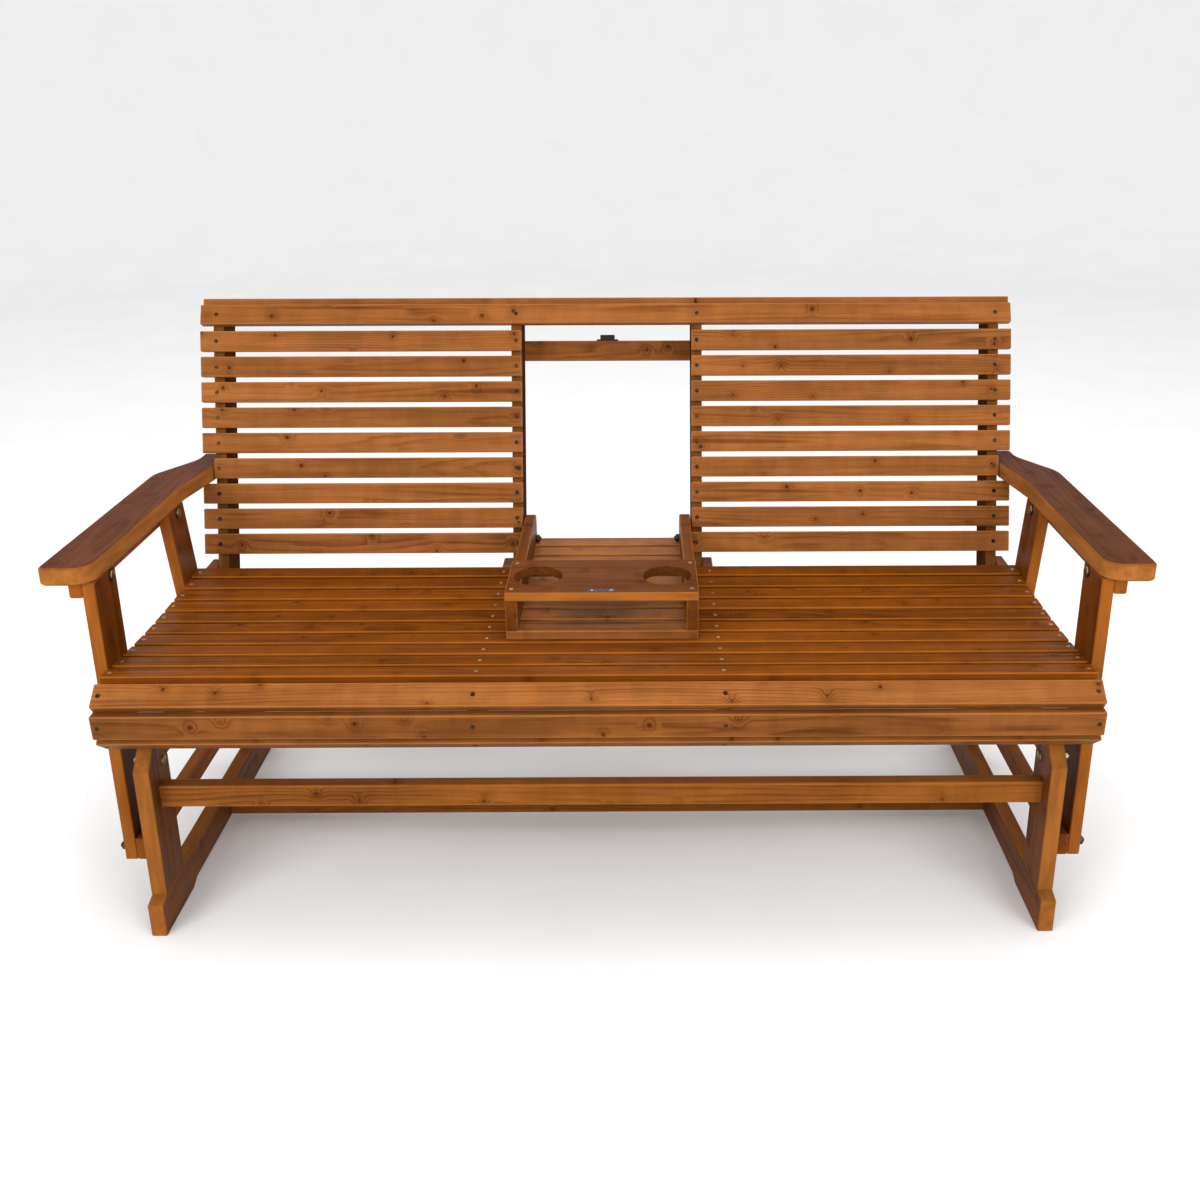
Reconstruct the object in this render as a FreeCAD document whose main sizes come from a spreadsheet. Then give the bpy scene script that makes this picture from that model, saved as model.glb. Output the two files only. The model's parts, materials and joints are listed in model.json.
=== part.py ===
import FreeCAD, Part
import math
import os

import Sketcher

# A wooden glider bench with a fold-down cup console in the middle of its back.
# Millimetres. X runs along the bench, Y from front to back, Z up from the floor.
# Distances to the back are taken from the toes of the base, and every piece is then moved so that
# the origin lies on the floor in the middle of the whole bench.

SIZES = [
    ("origin_setback", 373.1, "origin behind the toes of the base"),
    ("bench_length", 1524.0, "length of the seat and back slats"),
    ("back_opening", 320.0, "clear width between the two inner back posts"),
    ("frame_board", 20.0, "thickness of the seat frame boards"),
    ("slat_width", 38.1, "width of every slat"),
    ("slat_thick", 16.0, "thickness of every slat"),
    ("slat_pitch", 47.6, "from one slat to the next"),
    ("slat_ease", 2.0, "chamfer of a slat's long edges"),
    ("board_ease", 1.5, "chamfer round a board's two faces"),
    ("seat_front", 33.3, "front edge of the first seat slat"),
    ("seat_rest", 430.0, "height of the seat supports at the ends of their hollow"),
    ("seat_dish", 11.0, "depth of the hollow in the seat supports"),
    ("seat_slack", 0.1, "space under a seat slat's edges"),
    ("nose_lead", 5.5, "nose corner of a support ahead of the first seat slat"),
    ("nose_top_fall", 38.7, "degrees that the upper front slat falls forwards"),
    ("nose_face_tuck", 3.4, "degrees that the middle front slat tucks in"),
    ("nose_under_fall", 36.9, "degrees that the lower front slat falls backwards"),
    ("nose_reveal", 1.4, "space between the front slats at the nose"),
    ("nose_heel", 56.0, "length of the slope behind the nose"),
    ("support_depth", 75.0, "depth of a seat support behind the nose"),
    ("support_rear", 587.0, "rear end of the seat supports"),
    ("back_lean", 17.02, "degrees that the back leans"),
    ("back_foot_y", 545.0, "front lower edge of the back slats"),
    ("back_foot_rise", 9.6, "rise of that edge above the last seat slat"),
    ("post_depth", 70.0, "depth of a back post"),
    ("post_foot_drop", 60.0, "lower ends of the back posts below the seat supports' tops"),
    ("head_gap", 10.0, "from the top back slat to the top rail"),
    ("head_lean", 27.3, "degrees that the top rail leans"),
    ("head_fall", 15.0, "degrees that the cap falls backwards"),
    ("head_shoulder", 30.0, "rear corner of a post above the bend in its front"),
    ("head_round", 12.0, "rounding of the rear of a post's head"),
    ("arm_notch", 21.0, "shortening of the back slat beside an armrest"),
    ("catch_rail_rise", 370.0, "lower edge of the catch rail, up the back"),
    ("base_board", 25.4, "thickness of the base boards"),
    ("base_depth", 626.0, "length of a runner"),
    ("runner_deep", 63.5, "height of a runner at the legs"),
    ("toe_deep", 57.0, "height of a runner at its ends"),
    ("toe_reach", 22.0, "runner beyond the leg"),
    ("foot_length", 131.0, "part of a runner that stands on the floor"),
    ("foot_slope", 19.0, "run of the slope behind a foot"),
    ("foot_relief", 9.0, "clearance under a runner between its feet"),
    ("leg_width", 82.5, "width of a base leg"),
    ("leg_drop", 112.0, "tops of the base legs below the seat supports' tops"),
    ("leg_corner", 32.0, "cut-off corner of a base leg"),
    ("side_rail_deep", 42.0, "height of the rail between two base legs"),
    ("stretcher_deep", 38.0, "height of a stretcher"),
    ("stretcher_inset", 28.0, "front stretcher behind the face of the legs"),
    ("stretcher_drop", 110.0, "lower edge of two stretchers below the tops of the legs"),
    ("low_stretcher_y", 345.0, "front face of the low stretcher"),
    ("low_stretcher_z", 12.0, "lower edge of the low stretcher"),
    ("swing_gap", 14.0, "between a base leg and a hanger rail"),
    ("pivot_inset", 61.0, "pivot bolts behind the face of the front legs"),
    ("pivot_drop", 42.5, "upper pivot bolts below the tops of the legs"),
    ("arm_drop", 157.5, "between the two pivots of a swing arm"),
    ("arm_bar_width", 32.0, "width of a swing arm"),
    ("arm_bar_thick", 5.0, "thickness of a swing arm"),
    ("arm_bar_play", 2.0, "between a swing arm and a hanger rail"),
    ("bolt_radius", 4.0, "radius of every bolt"),
    ("pin_play", 0.3, "play of a turning hole round its bolt"),
    ("fixed_play", 0.05, "play of a fixed hole round its bolt"),
    ("head_radius", 8.5, "radius of a bolt's head"),
    ("head_thick", 3.6, "thickness of a bolt's head"),
    ("nut_inset", 1.0, "corners of a nut inside the edge of its bolt's head"),
    ("nut_thick", 6.5, "thickness of a nut"),
    ("hanger_front", 70.0, "front end of the hanger rails and arm posts"),
    ("hanger_length", 520.0, "length of a hanger rail"),
    ("hanger_deep", 38.0, "height of a hanger rail"),
    ("arm_post_width", 82.5, "width of a front arm post"),
    ("rear_post_width", 75.0, "width of a rear arm post"),
    ("rear_post_lean", 12.5, "degrees that a rear arm post leans forwards"),
    ("rear_post_foot", 501.0, "front edge of a rear arm post at its foot"),
    ("arm_rise", 139.0, "underside of the armrests above the last seat slat"),
    ("arm_rail_deep", 25.4, "height of an arm rail"),
    ("arm_rail_length", 430.0, "length of an arm rail"),
    ("armrest_thick", 28.6, "thickness of an armrest"),
    ("armrest_width", 80.0, "width of an armrest"),
    ("armrest_lap", 2.0, "armrest over the ends of the seat slats"),
    ("armrest_front", 56.0, "front end of the armrests"),
    ("armrest_rear", 687.0, "rear end of the armrests"),
    ("armrest_inner_round", 30.0, "inner front corner of an armrest"),
    ("armrest_outer_round", 13.0, "outer front corner of an armrest"),
    ("armrest_sweep_start", 545.0, "where the outer edge turns in"),
    ("armrest_sweep_end", 645.0, "where the outer edge is straight again"),
    ("armrest_sweep_round", 70.0, "radius of both turns of the outer edge"),
    ("armrest_tail_round", 6.0, "rear corners of an armrest"),
    ("armrest_tail", 46.0, "width of the rear end of an armrest"),
    ("armrest_taper_start", 470.0, "where the inner edge turns towards the back post"),
    ("armrest_ease", 3.0, "rounding of an armrest's upper and lower edges"),
    ("console_front", 185.0, "front end of the lowered console"),
    ("console_side_gap", 3.0, "between the console and a back post"),
    ("spacer_play", 0.5, "play of the console beside its spacers"),
    ("pivot_room", 0.7, "between the console's bolt heads and the slats"),
    ("console_rest_gap", 0.3, "between the lowered console and the seat slats"),
    ("console_rail_deep", 52.0, "height of a console rail"),
    ("console_tail_round", 14.0, "rounding of the rear end of a console rail"),
    ("cup_plank_width", 140.0, "width of the cup plank"),
    ("cup_plank_thick", 16.0, "thickness of the cup plank"),
    ("cup_radius", 40.0, "radius of a cup hole"),
    ("cup_spread", 107.0, "cup holes from the middle"),
    ("strike_width", 44.0, "width of the strike plate"),
    ("strike_deep", 11.0, "depth of the strike plate"),
    ("strike_thick", 1.2, "thickness of the strike plate"),
    ("strike_inset", 2.0, "strike plate behind the edge of the cup plank"),
    ("catch_gap", 0.3, "between the catch and the raised strike plate"),
    ("catch_flange_width", 42.0, "width of the catch's flange"),
    ("catch_flange_thick", 2.5, "thickness of the catch's flange"),
    ("catch_body_width", 28.0, "width of the catch's body"),
    ("catch_body_deep", 8.5, "height of the catch's body above its flange"),
]
SEAT_SLATS = 10
BACK_SLATS = 9
NOTCHED_SLAT = 3
DEGREES = 180 / math.pi
CUT_ROOM = 1.0        # a cutting block stands this far out of the slat that it shortens
SAME_PLACE = 0.01     # two places nearer than this are the same


class Size:
    """A number that knows its value and the formula that gives it in the document."""

    def __init__(self, value, formula=None):
        self.value = value
        self.formula = formula or "(%.12g)" % value

    def __add__(self, other):
        other = as_size(other)
        return Size(self.value + other.value, "(%s + %s)" % (self.formula, other.formula))

    def __sub__(self, other):
        other = as_size(other)
        return Size(self.value - other.value, "(%s - %s)" % (self.formula, other.formula))

    def __mul__(self, other):
        other = as_size(other)
        return Size(self.value * other.value, "(%s * %s)" % (self.formula, other.formula))

    def __truediv__(self, other):
        other = as_size(other)
        return Size(self.value / other.value, "(%s / %s)" % (self.formula, other.formula))

    def __neg__(self):
        return Size(-self.value, "(-1 * %s)" % self.formula)


def as_size(number):
    return number if isinstance(number, Size) else Size(float(number))


def sine(angle):
    return Size(math.sin(math.radians(angle.value)), "sin(%s)" % angle.formula)


def cosine(angle):
    return Size(math.cos(math.radians(angle.value)), "cos(%s)" % angle.formula)


def square_root(size):
    return Size(math.sqrt(size.value), "sqrt(%s)" % size.formula)


def slope_angle(rise, run):
    """Degrees of the slope that rises by rise over run."""
    degrees = math.degrees(math.atan2(rise.value, run.value))
    return Size(degrees, "(atan2(%s; %s) / 1 deg)" % (rise.formula, run.formula))


def along(point, direction, distance):
    return tuple(place + way * distance for place, way in zip(point, direction))


def cross(first, second):
    return first[0] * second[1] - first[1] * second[0]


def dot(first, second):
    return first[0] * second[0] + first[1] * second[1]


def between(start, end):
    return tuple(far - near for near, far in zip(start, end))


# The document and its two sheets

doc = FreeCAD.newDocument("glider_bench")
driving = doc.addObject("Spreadsheet::Sheet", "Sizes")
worked = doc.addObject("Spreadsheet::Sheet", "Worked")
s = {}
for row, (alias, number, meaning) in enumerate(SIZES, start=1):
    driving.set("A%d" % row, meaning)
    driving.set("B%d" % row, str(number))
    driving.setAlias("B%d" % row, alias)
    s[alias] = Size(number, "Sizes." + alias)
doc.recompute()
worked_sizes = {}


def keep(alias, size):
    """Puts a worked-out size in the second sheet under a name and returns it by that name."""
    row = len(worked_sizes) + 1
    worked.set("A%d" % row, "=" + size.formula)
    worked.setAlias("A%d" % row, alias)
    worked_sizes[alias] = size.value
    return Size(size.value, "Worked." + alias)


def keep_point(alias, point):
    return keep(alias + "_u", point[0]), keep(alias + "_v", point[1])


# Places worked out from the driving sizes

ZERO = Size(0.0)
BACKWARDS = (Size(1.0), ZERO)
UP = (ZERO, Size(1.0))


def rectangle(corner, direction, length, normal, width):
    far = along(corner, direction, length)
    return [corner, far, along(far, normal, width), along(corner, normal, width)]


def slat_loop(corner, direction, normal):
    return rectangle(corner, direction, s["slat_width"], normal, s["slat_thick"])


def mirrored_y(corners):
    """The outline turned back to front about the middle of the base."""
    return [(s["base_depth"] - u, v) for u, v in corners]


# Across the bench
half_length = keep("half_length", s["bench_length"] / 2)
inner_post_face = keep("inner_post_face", s["back_opening"] / 2)
inner_support_face = keep("inner_support_face", inner_post_face + s["frame_board"])
outer_support_face = keep("outer_support_face", half_length - s["frame_board"])
outer_post_face = keep("outer_post_face", outer_support_face - s["frame_board"])
arm_rail_face = keep("arm_rail_face", half_length + s["frame_board"])
base_outer_face = keep("base_outer_face", outer_support_face - s["swing_gap"])
base_inner_face = keep("base_inner_face", base_outer_face - s["base_board"])
bar_outer_face = keep("bar_outer_face", outer_support_face - s["arm_bar_play"])
bar_inner_face = keep("bar_inner_face", bar_outer_face - s["arm_bar_thick"])
console_half = keep("console_half", inner_post_face - s["console_side_gap"])

# Heights that follow the seat's
leg_top = keep("leg_top", s["seat_rest"] - s["leg_drop"])
pivot_rise = keep("pivot_rise", leg_top - s["pivot_drop"])
lower_pivot = keep("lower_pivot", pivot_rise - s["arm_drop"])
hanger_rise = keep("hanger_rise", lower_pivot - s["hanger_deep"] / 2)
arm_height = keep("arm_height", s["seat_rest"] + s["slat_thick"] + s["arm_rise"])
post_foot = keep("post_foot", s["seat_rest"] - s["post_foot_drop"])

# Holes and pivots of the glide
fixed_hole = keep("fixed_hole", s["bolt_radius"] + s["fixed_play"])
turning_hole = keep("turning_hole", s["bolt_radius"] + s["pin_play"])
leg_back = keep("leg_back", s["toe_reach"] + s["leg_width"])
pivot_front = keep("pivot_front", s["toe_reach"] + s["pivot_inset"])
pivot_back = keep("pivot_back", s["base_depth"] - pivot_front)

# The leaning rear arm posts
post_height = arm_height - hanger_rise
lean_run = post_height * sine(s["rear_post_lean"]) / cosine(s["rear_post_lean"])
slant_width = s["rear_post_width"] / cosine(s["rear_post_lean"])
rear_top = keep_point("rear_post_top", (s["rear_post_foot"] - lean_run, arm_height))

# The hollow of the seat: an arc whose chord runs from the nose to behind the last seat slat
seat_span = s["slat_pitch"] * (SEAT_SLATS - 1) + s["slat_width"]
seat_middle = keep("seat_middle", s["seat_front"] + seat_span / 2)
nose_top = keep_point("nose_top", (s["seat_front"] - s["nose_lead"], s["seat_rest"]))
half_chord = seat_middle - nose_top[0]
hollow_radius = keep("hollow_radius", (half_chord * half_chord + s["seat_dish"] * s["seat_dish"])
                     / (s["seat_dish"] * 2))
hollow_centre_z = keep("hollow_centre_z", s["seat_rest"] - s["seat_dish"] + hollow_radius)

# The nose: three straight faces, one for each front slat
nose_step = s["slat_width"] + s["nose_reveal"]
nose_ways = [
    (-cosine(s["nose_top_fall"]), -sine(s["nose_top_fall"])),
    (sine(s["nose_face_tuck"]), -cosine(s["nose_face_tuck"])),
    (cosine(s["nose_under_fall"]), -sine(s["nose_under_fall"])),
]
nose_points = [nose_top]
for number, way in enumerate(nose_ways):
    nose_points.append(keep_point("nose_%d" % number, along(nose_points[-1], way, nose_step)))

# The seat slats: each lies square to the hollow's radius, and its edges touch the hollow
slat_lift = (hollow_radius
             - square_root(hollow_radius * hollow_radius
                           - s["slat_width"] * s["slat_width"] / 4)
             + s["seat_slack"])
seat_loops = []
for number in range(SEAT_SLATS):
    offset = s["slat_pitch"] * (number - (SEAT_SLATS - 1) / 2)
    turn = keep("seat_turn_%02d" % (number + 1), offset / hollow_radius * DEGREES)
    way = (cosine(turn), sine(turn))
    normal = (-sine(turn), cosine(turn))
    foot = along((seat_middle, hollow_centre_z), normal, slat_lift - hollow_radius)
    corner = keep_point("seat_slat_%02d" % (number + 1), along(foot, way, -s["slat_width"] / 2))
    seat_loops.append(slat_loop(corner, way, normal))

# The back: how far up it, and how far behind the faces of its slats
up_back = keep_point("up_back", (sine(s["back_lean"]), cosine(s["back_lean"])))
behind_back = (up_back[1], -up_back[0])
back_foot = (s["back_foot_y"], s["seat_rest"] + s["slat_thick"] + s["back_foot_rise"])
back_length = keep("back_length", s["slat_pitch"] * (BACK_SLATS - 1) + s["slat_width"])


def on_back(up, behind):
    return along(along(back_foot, up_back, up), behind_back, behind)


def back_plane_at(height, behind):
    """The point of the plane that lies behind the slats' faces by a distance, at a height."""
    start = on_back(ZERO, behind)
    return along(start, up_back, (height - start[1]) / up_back[1])


post_behind = s["slat_thick"] + s["post_depth"]
post_front_foot = keep_point("post_front_foot", back_plane_at(post_foot, s["slat_thick"]))
post_back_foot = keep_point("post_back_foot", back_plane_at(post_foot, post_behind))
back_at_arm = keep("back_at_arm", back_plane_at(arm_height, s["slat_thick"])[0])
back_corners = [keep_point("back_slat_%d" % (number + 1), on_back(s["slat_pitch"] * number, ZERO))
                for number in range(BACK_SLATS)]

# The rolled head: the front of a post bends for the top rail and turns over for the cap
rail_way = (sine(s["head_lean"]), cosine(s["head_lean"]))
cap_way = (cosine(s["head_fall"]), -sine(s["head_fall"]))
bend = keep_point("bend", on_back(back_length + s["head_gap"] / 2, s["slat_thick"]))
rail_foot = keep_point("rail_foot", along(bend, rail_way, s["head_gap"] / 2))
head_front = keep_point("head_front", along(rail_foot, rail_way, s["slat_width"]))
head_back = keep_point("head_back", along(head_front, cap_way, s["slat_width"]))
shoulder = keep_point("shoulder", on_back(back_length + s["head_shoulder"], post_behind))

# The lowered console lies across the hollow, from its front end to the last seat slat
seat_top_radius = hollow_radius - s["slat_thick"]
front_offset = seat_middle - s["console_front"]
seat_top_z = hollow_centre_z - square_root(seat_top_radius * seat_top_radius
                                           - front_offset * front_offset)
console_tip = keep_point("console_tip", (s["console_front"], seat_top_z + s["console_rest_gap"]))
seat_heel = keep_point("seat_heel", along(seat_loops[-1][2], UP, s["console_rest_gap"]))
reach = keep_point("reach", between(console_tip, seat_heel))
reach_length = keep("reach_length", square_root(dot(reach, reach)))
console_way = keep_point("console_way", (reach[0] / reach_length, reach[1] / reach_length))
console_up = (-console_way[1], console_way[0])
console_tilt = keep("console_tilt", slope_angle(console_way[1], console_way[0]))

# The console's pivot is as far above its lowered faces as it is behind the faces of the back, so
# that the raised console lies flush in the back. The two planes meet at one line, and the
# pivot's feet on both are equally far from it.
to_tip = between(back_foot, console_tip)
meet_up = keep("meet_up", cross(to_tip, console_way) / cross(up_back, console_way))
meet = keep_point("meet", along(back_foot, up_back, meet_up))
meet_back = keep("meet_back", dot(between(console_tip, meet), console_way))
foot_run = keep("foot_run", (back_length - meet_up - meet_back) / 2)
spread_cosine = keep("spread_cosine", dot(up_back, console_way))
half_spread = square_root((Size(1.0) - spread_cosine) / (Size(1.0) + spread_cosine))
pivot_depth = keep("pivot_depth", foot_run * half_spread)


def on_console(back, up):
    return along(along(console_tip, console_way, back), console_up, up)


console_pivot = keep_point("console_pivot", on_console(meet_back + foot_run, pivot_depth))
pivot_head = keep("pivot_head", pivot_depth - s["slat_thick"] - s["pivot_room"])
plank_up = s["slat_thick"] + s["console_rail_deep"]
plank_top = plank_up + s["cup_plank_thick"]
plank_corner = keep_point("plank_corner", on_console(ZERO, plank_up))
strike_corner = keep_point("strike_corner", on_console(s["strike_inset"], plank_top))
doc.recompute()


# Making pieces

def origin_plane(body, role):
    return [plane for plane in body.Origin.OriginFeatures if plane.Role == role][0]


def arc_between(start, end, radius):
    """The arc from start to end that sags below their chord, and whether it runs clockwise."""
    chord = end - start
    middle = (start + end) * 0.5
    left = FreeCAD.Vector(-chord.y, chord.x, 0).normalize()
    rise = math.sqrt(radius ** 2 - (chord.Length / 2) ** 2)
    centre = middle + left * rise if left.y > 0 else middle - left * rise
    turns = [math.atan2(tip.y - centre.y, tip.x - centre.x) for tip in (start, end)]
    circle = Part.Circle(centre, FreeCAD.Vector(0, 0, 1), radius)
    return Part.ArcOfCircle(circle, min(turns), max(turns)), turns[0] > turns[1]


def fix_point(sketch, geometry, end, point):
    """Ties a point of the sketch to the sheets by its two distances from the sketch's origin."""
    for kind, distance in zip(("DistanceX", "DistanceY"), point):
        rule = Sketcher.Constraint(kind, -1, 1, geometry, end, distance.value)
        number = sketch.addConstraint(rule)
        sketch.setExpression("Constraints[%d]" % number, distance.formula)


def draw_loop(sketch, corners, sags):
    """Draws one closed outline; sags gives the radius of each stretch that is a hollow arc."""
    first = sketch.GeometryCount
    count = len(corners)
    spots = [FreeCAD.Vector(u.value, v.value, 0) for u, v in corners]
    starts = []
    for number in range(count):
        start, end = spots[number], spots[(number + 1) % count]
        backwards = False
        shape = Part.LineSegment(start, end)
        if number in sags:
            shape, backwards = arc_between(start, end, sags[number].value)
        sketch.addGeometry(shape, False)
        starts.append(2 if backwards else 1)
    for number in range(count):
        following = (number + 1) % count
        end = 3 - starts[number]
        rule = Sketcher.Constraint("Coincident", first + number, end,
                                   first + following, starts[following])
        sketch.addConstraint(rule)
        fix_point(sketch, first + number, starts[number], corners[number])
    for number, radius in sags.items():
        rule = sketch.addConstraint(Sketcher.Constraint("Radius", first + number, radius.value))
        sketch.setExpression("Constraints[%d]" % rule, radius.formula)


def draw_hole(sketch, centre, radius):
    spot = FreeCAD.Vector(centre[0].value, centre[1].value, 0)
    circle = Part.Circle(spot, FreeCAD.Vector(0, 0, 1), radius.value)
    number = sketch.addGeometry(circle, False)
    fix_point(sketch, number, 3, centre)
    rule = sketch.addConstraint(Sketcher.Constraint("Radius", number, radius.value))
    sketch.setExpression("Constraints[%d]" % rule, radius.formula)


def soften(body, kind, size_name, size, chosen):
    """Adds a fillet or chamfer on the chosen edges of the body as it stands."""
    base = body.Tip
    names = ["Edge%d" % number for number, edge in enumerate(base.Shape.Edges, start=1)
             if chosen(edge)]
    feature = body.newObject(kind, body.Name + "_soft")
    feature.Base = (base, names)
    feature.setExpression(size_name, size.formula)
    doc.recompute()


def corner_edges(corner, flat_axes):
    """Chooses the edges that stand on one corner of the outline."""
    def chosen(edge):
        return all(abs(getattr(tip.Point, axis) - distance.value) < SAME_PLACE
                   for tip in edge.Vertexes for axis, distance in zip(flat_axes, corner))
    return chosen


def rim_edges(axis, levels):
    """Chooses the edges of the two faces of a board, apart from those of its holes."""
    def chosen(edge):
        heights = [getattr(tip.Point, axis) for tip in edge.Vertexes]
        if len(heights) < 2:
            return False
        return any(all(abs(height - level) < SAME_PLACE for height in heights)
                   for level in levels)
    return chosen


def place(piece, x, y, z):
    """Binds the place of a piece to the sheets, with y counted from the toes."""
    setback = y - s["origin_setback"]
    for axis, distance in zip("xyz", (x, setback, z)):
        piece.setExpression("Placement.Base." + axis, distance.formula)


nodes = []


def board(name, start, thickness, outline, holes=(), rounds=None, sags=None, flat=False,
          rim=None, rise=ZERO):
    """A board sawn to an outline: one sketch, one pad, its round corners and an eased rim.

    The outline stands in the YZ plane and the board's thickness runs along X from start, or, where
    the board is flat, the outline lies in the XY plane and the thickness runs up from rise.
    rounds gives the radius of each corner that is round.
    """
    body = padded(name, thickness, [outline], holes, sags or {}, flat)
    for corner, radius in (rounds or {}).items():
        soften(body, "PartDesign::Fillet", "Radius", radius,
               corner_edges(outline[corner], "xy" if flat else "yz"))
    soften(body, "PartDesign::Chamfer", "Size", rim or s["board_ease"],
           rim_edges("z" if flat else "x", (0.0, thickness.value)))
    place(body, ZERO if flat else start, ZERO, rise if flat else ZERO)
    nodes.append(body)
    return body


def slats(name, start, length, loops):
    """Slats along X in one node, each drawn as its section, with eased long edges."""
    body = padded(name, length, loops)
    tests = [corner_edges(corner, "yz") for loop in loops for corner in loop]
    soften(body, "PartDesign::Chamfer", "Size", s["slat_ease"],
           lambda edge: any(test(edge) for test in tests))
    place(body, start, ZERO, ZERO)
    nodes.append(body)
    return body


def padded(name, length, loops, holes=(), sags=None, flat=False):
    """One body with one sketch of closed loops and holes, and its pad."""
    body = doc.addObject("PartDesign::Body", name)
    body.Label = name
    body.AllowCompound = len(loops) > 1
    sketch = body.newObject("Sketcher::SketchObject", name + "_outline")
    sketch.AttachmentSupport = [(origin_plane(body, "XY_Plane" if flat else "YZ_Plane"), "")]
    sketch.MapMode = "FlatFace"
    for corners in loops:
        draw_loop(sketch, corners, sags or {})
    for centre, radius in holes:
        draw_hole(sketch, centre, radius)
    pad = body.newObject("PartDesign::Pad", name + "_pad")
    pad.Profile = sketch
    pad.setExpression("Length", length.formula)
    doc.recompute()
    return body


def board_pair(name, inner_face, thickness, outline, **more):
    """The same board on both sides of the bench, with its inner face as far from the middle."""
    board(name + "_right", inner_face, thickness, outline, **more)
    board(name + "_left", -(inner_face + thickness), thickness, outline, **more)


def turned(name, kinds):
    """A turned piece along X: a stack of cylinders and prisms, fused into one solid."""
    rounds = []
    for number, (kind, start, length, sizes) in enumerate(kinds):
        layer = doc.addObject(kind, "%s_%d" % (name, number))
        layer.Placement.Rotation = FreeCAD.Rotation(FreeCAD.Vector(0, 1, 0), 90)
        layer.setExpression("Placement.Base.x", start.formula)
        layer.setExpression("Height", length.formula)
        for size_name, size in sizes.items():
            layer.setExpression(size_name, size.formula)
        rounds.append(layer)
    fused = doc.addObject("Part::MultiFuse", name)
    fused.Shapes = rounds
    return fused


def bolt(name, grip, spacers, head):
    """A bolt along +X: its head bears at 0, a nut closes its grip and more nuts space the pieces."""
    layers = [
        ("Part::Cylinder", -s["head_thick"], s["head_thick"], {"Radius": head}),
        ("Part::Cylinder", ZERO, grip, {"Radius": s["bolt_radius"]}),
    ]
    for start, thickness in [(grip, s["nut_thick"]), *spacers]:
        layers.append(("Part::Prism", start, thickness, {"Circumradius": head - s["nut_inset"]}))
    return turned(name, layers)


def bolt_group(name, bolts, head_radius=s["head_radius"]):
    """One node that holds bolts: each has its head's place, its point, its grip and spacers."""
    made = []
    for number, (head, point, grip, outwards, spacers) in enumerate(bolts, start=1):
        piece = bolt("%s_%d" % (name, number), grip, spacers, head_radius)
        if not outwards:
            piece.Placement.Rotation = FreeCAD.Rotation(FreeCAD.Vector(0, 0, 1), 180)
        place(piece, head, *point)
        made.append(piece)
    group = doc.addObject("Part::Compound", name)
    group.Label = name
    group.Links = made
    nodes.append(group)


def cut_from(base, tool, name):
    cut = doc.addObject("Part::Cut", name)
    cut.Base = base
    cut.Tool = tool
    return cut


def swing_arm(name, start, pivot_y):
    """A flat steel bar with round ends and a hole at each pivot."""
    bar = doc.addObject("Part::Box", name + "_bar")
    for size_name, size in (("Length", s["arm_bar_thick"]), ("Width", s["arm_bar_width"]),
                            ("Height", s["arm_drop"])):
        bar.setExpression(size_name, size.formula)
    bar.setExpression("Placement.Base.y", (-s["arm_bar_width"] / 2).formula)
    shapes = [bar]
    holes = []
    for number, height in enumerate((ZERO, s["arm_drop"])):
        for radius, group in ((s["arm_bar_width"] / 2, shapes), (turning_hole, holes)):
            disc = doc.addObject("Part::Cylinder", "%s_%d_%d" % (name, number, len(group)))
            disc.Placement.Rotation = FreeCAD.Rotation(FreeCAD.Vector(0, 1, 0), 90)
            disc.setExpression("Placement.Base.z", height.formula)
            disc.setExpression("Radius", radius.formula)
            disc.setExpression("Height", s["arm_bar_thick"].formula)
            group.append(disc)
    blank = doc.addObject("Part::MultiFuse", name + "_blank")
    blank.Shapes = shapes
    drills = doc.addObject("Part::Compound", name + "_drills")
    drills.Links = holes
    arm = cut_from(blank, drills, name)
    arm.Label = name
    place(arm, start, pivot_y, lower_pivot)
    nodes.append(arm)


# The base: two side frames, each a runner, two legs and a rail, joined by three stretchers

half_runner = [
    (s["toe_reach"], s["runner_deep"]),
    (ZERO, s["toe_deep"]),
    (ZERO, ZERO),
    (s["foot_length"], ZERO),
    (s["foot_length"] + s["foot_slope"], s["foot_relief"]),
]
board_pair("base_runner", base_inner_face, s["base_board"],
           half_runner + mirrored_y(half_runner)[::-1])

leg_outline = [
    (s["toe_reach"], s["runner_deep"]),
    (leg_back, s["runner_deep"]),
    (leg_back, leg_top),
    (s["toe_reach"] + s["leg_corner"], leg_top),
    (s["toe_reach"], leg_top - s["leg_corner"]),
]
board_pair("base_front_leg", base_inner_face, s["base_board"], leg_outline,
           holes=[((pivot_front, pivot_rise), fixed_hole)])
board_pair("base_rear_leg", base_inner_face, s["base_board"], mirrored_y(leg_outline),
           holes=[((pivot_back, pivot_rise), fixed_hole)])

side_rail_foot = (leg_back, leg_top - s["side_rail_deep"])
board_pair("base_side_rail", base_inner_face, s["base_board"],
           rectangle(side_rail_foot, BACKWARDS, s["base_depth"] - leg_back * 2,
                     UP, s["side_rail_deep"]))

front_stretcher = rectangle((s["toe_reach"] + s["stretcher_inset"], leg_top - s["stretcher_drop"]),
                            BACKWARDS, s["base_board"], UP, s["stretcher_deep"])
low_stretcher = rectangle((s["low_stretcher_y"], s["low_stretcher_z"]), BACKWARDS,
                          s["base_board"], UP, s["stretcher_deep"])
for name, outline in (("base_front_stretcher", front_stretcher),
                      ("base_rear_stretcher", mirrored_y(front_stretcher)),
                      ("base_low_stretcher", low_stretcher)):
    slats(name, -base_inner_face, base_inner_face * 2, [outline])

# The glide: four steel swing arms hang the seat from the upper pivot bolts

for end, pivot_y in (("front", pivot_front), ("rear", pivot_back)):
    swing_arm("swing_arm_%s_right" % end, bar_inner_face, pivot_y)
    swing_arm("swing_arm_%s_left" % end, -bar_outer_face, pivot_y)

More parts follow.
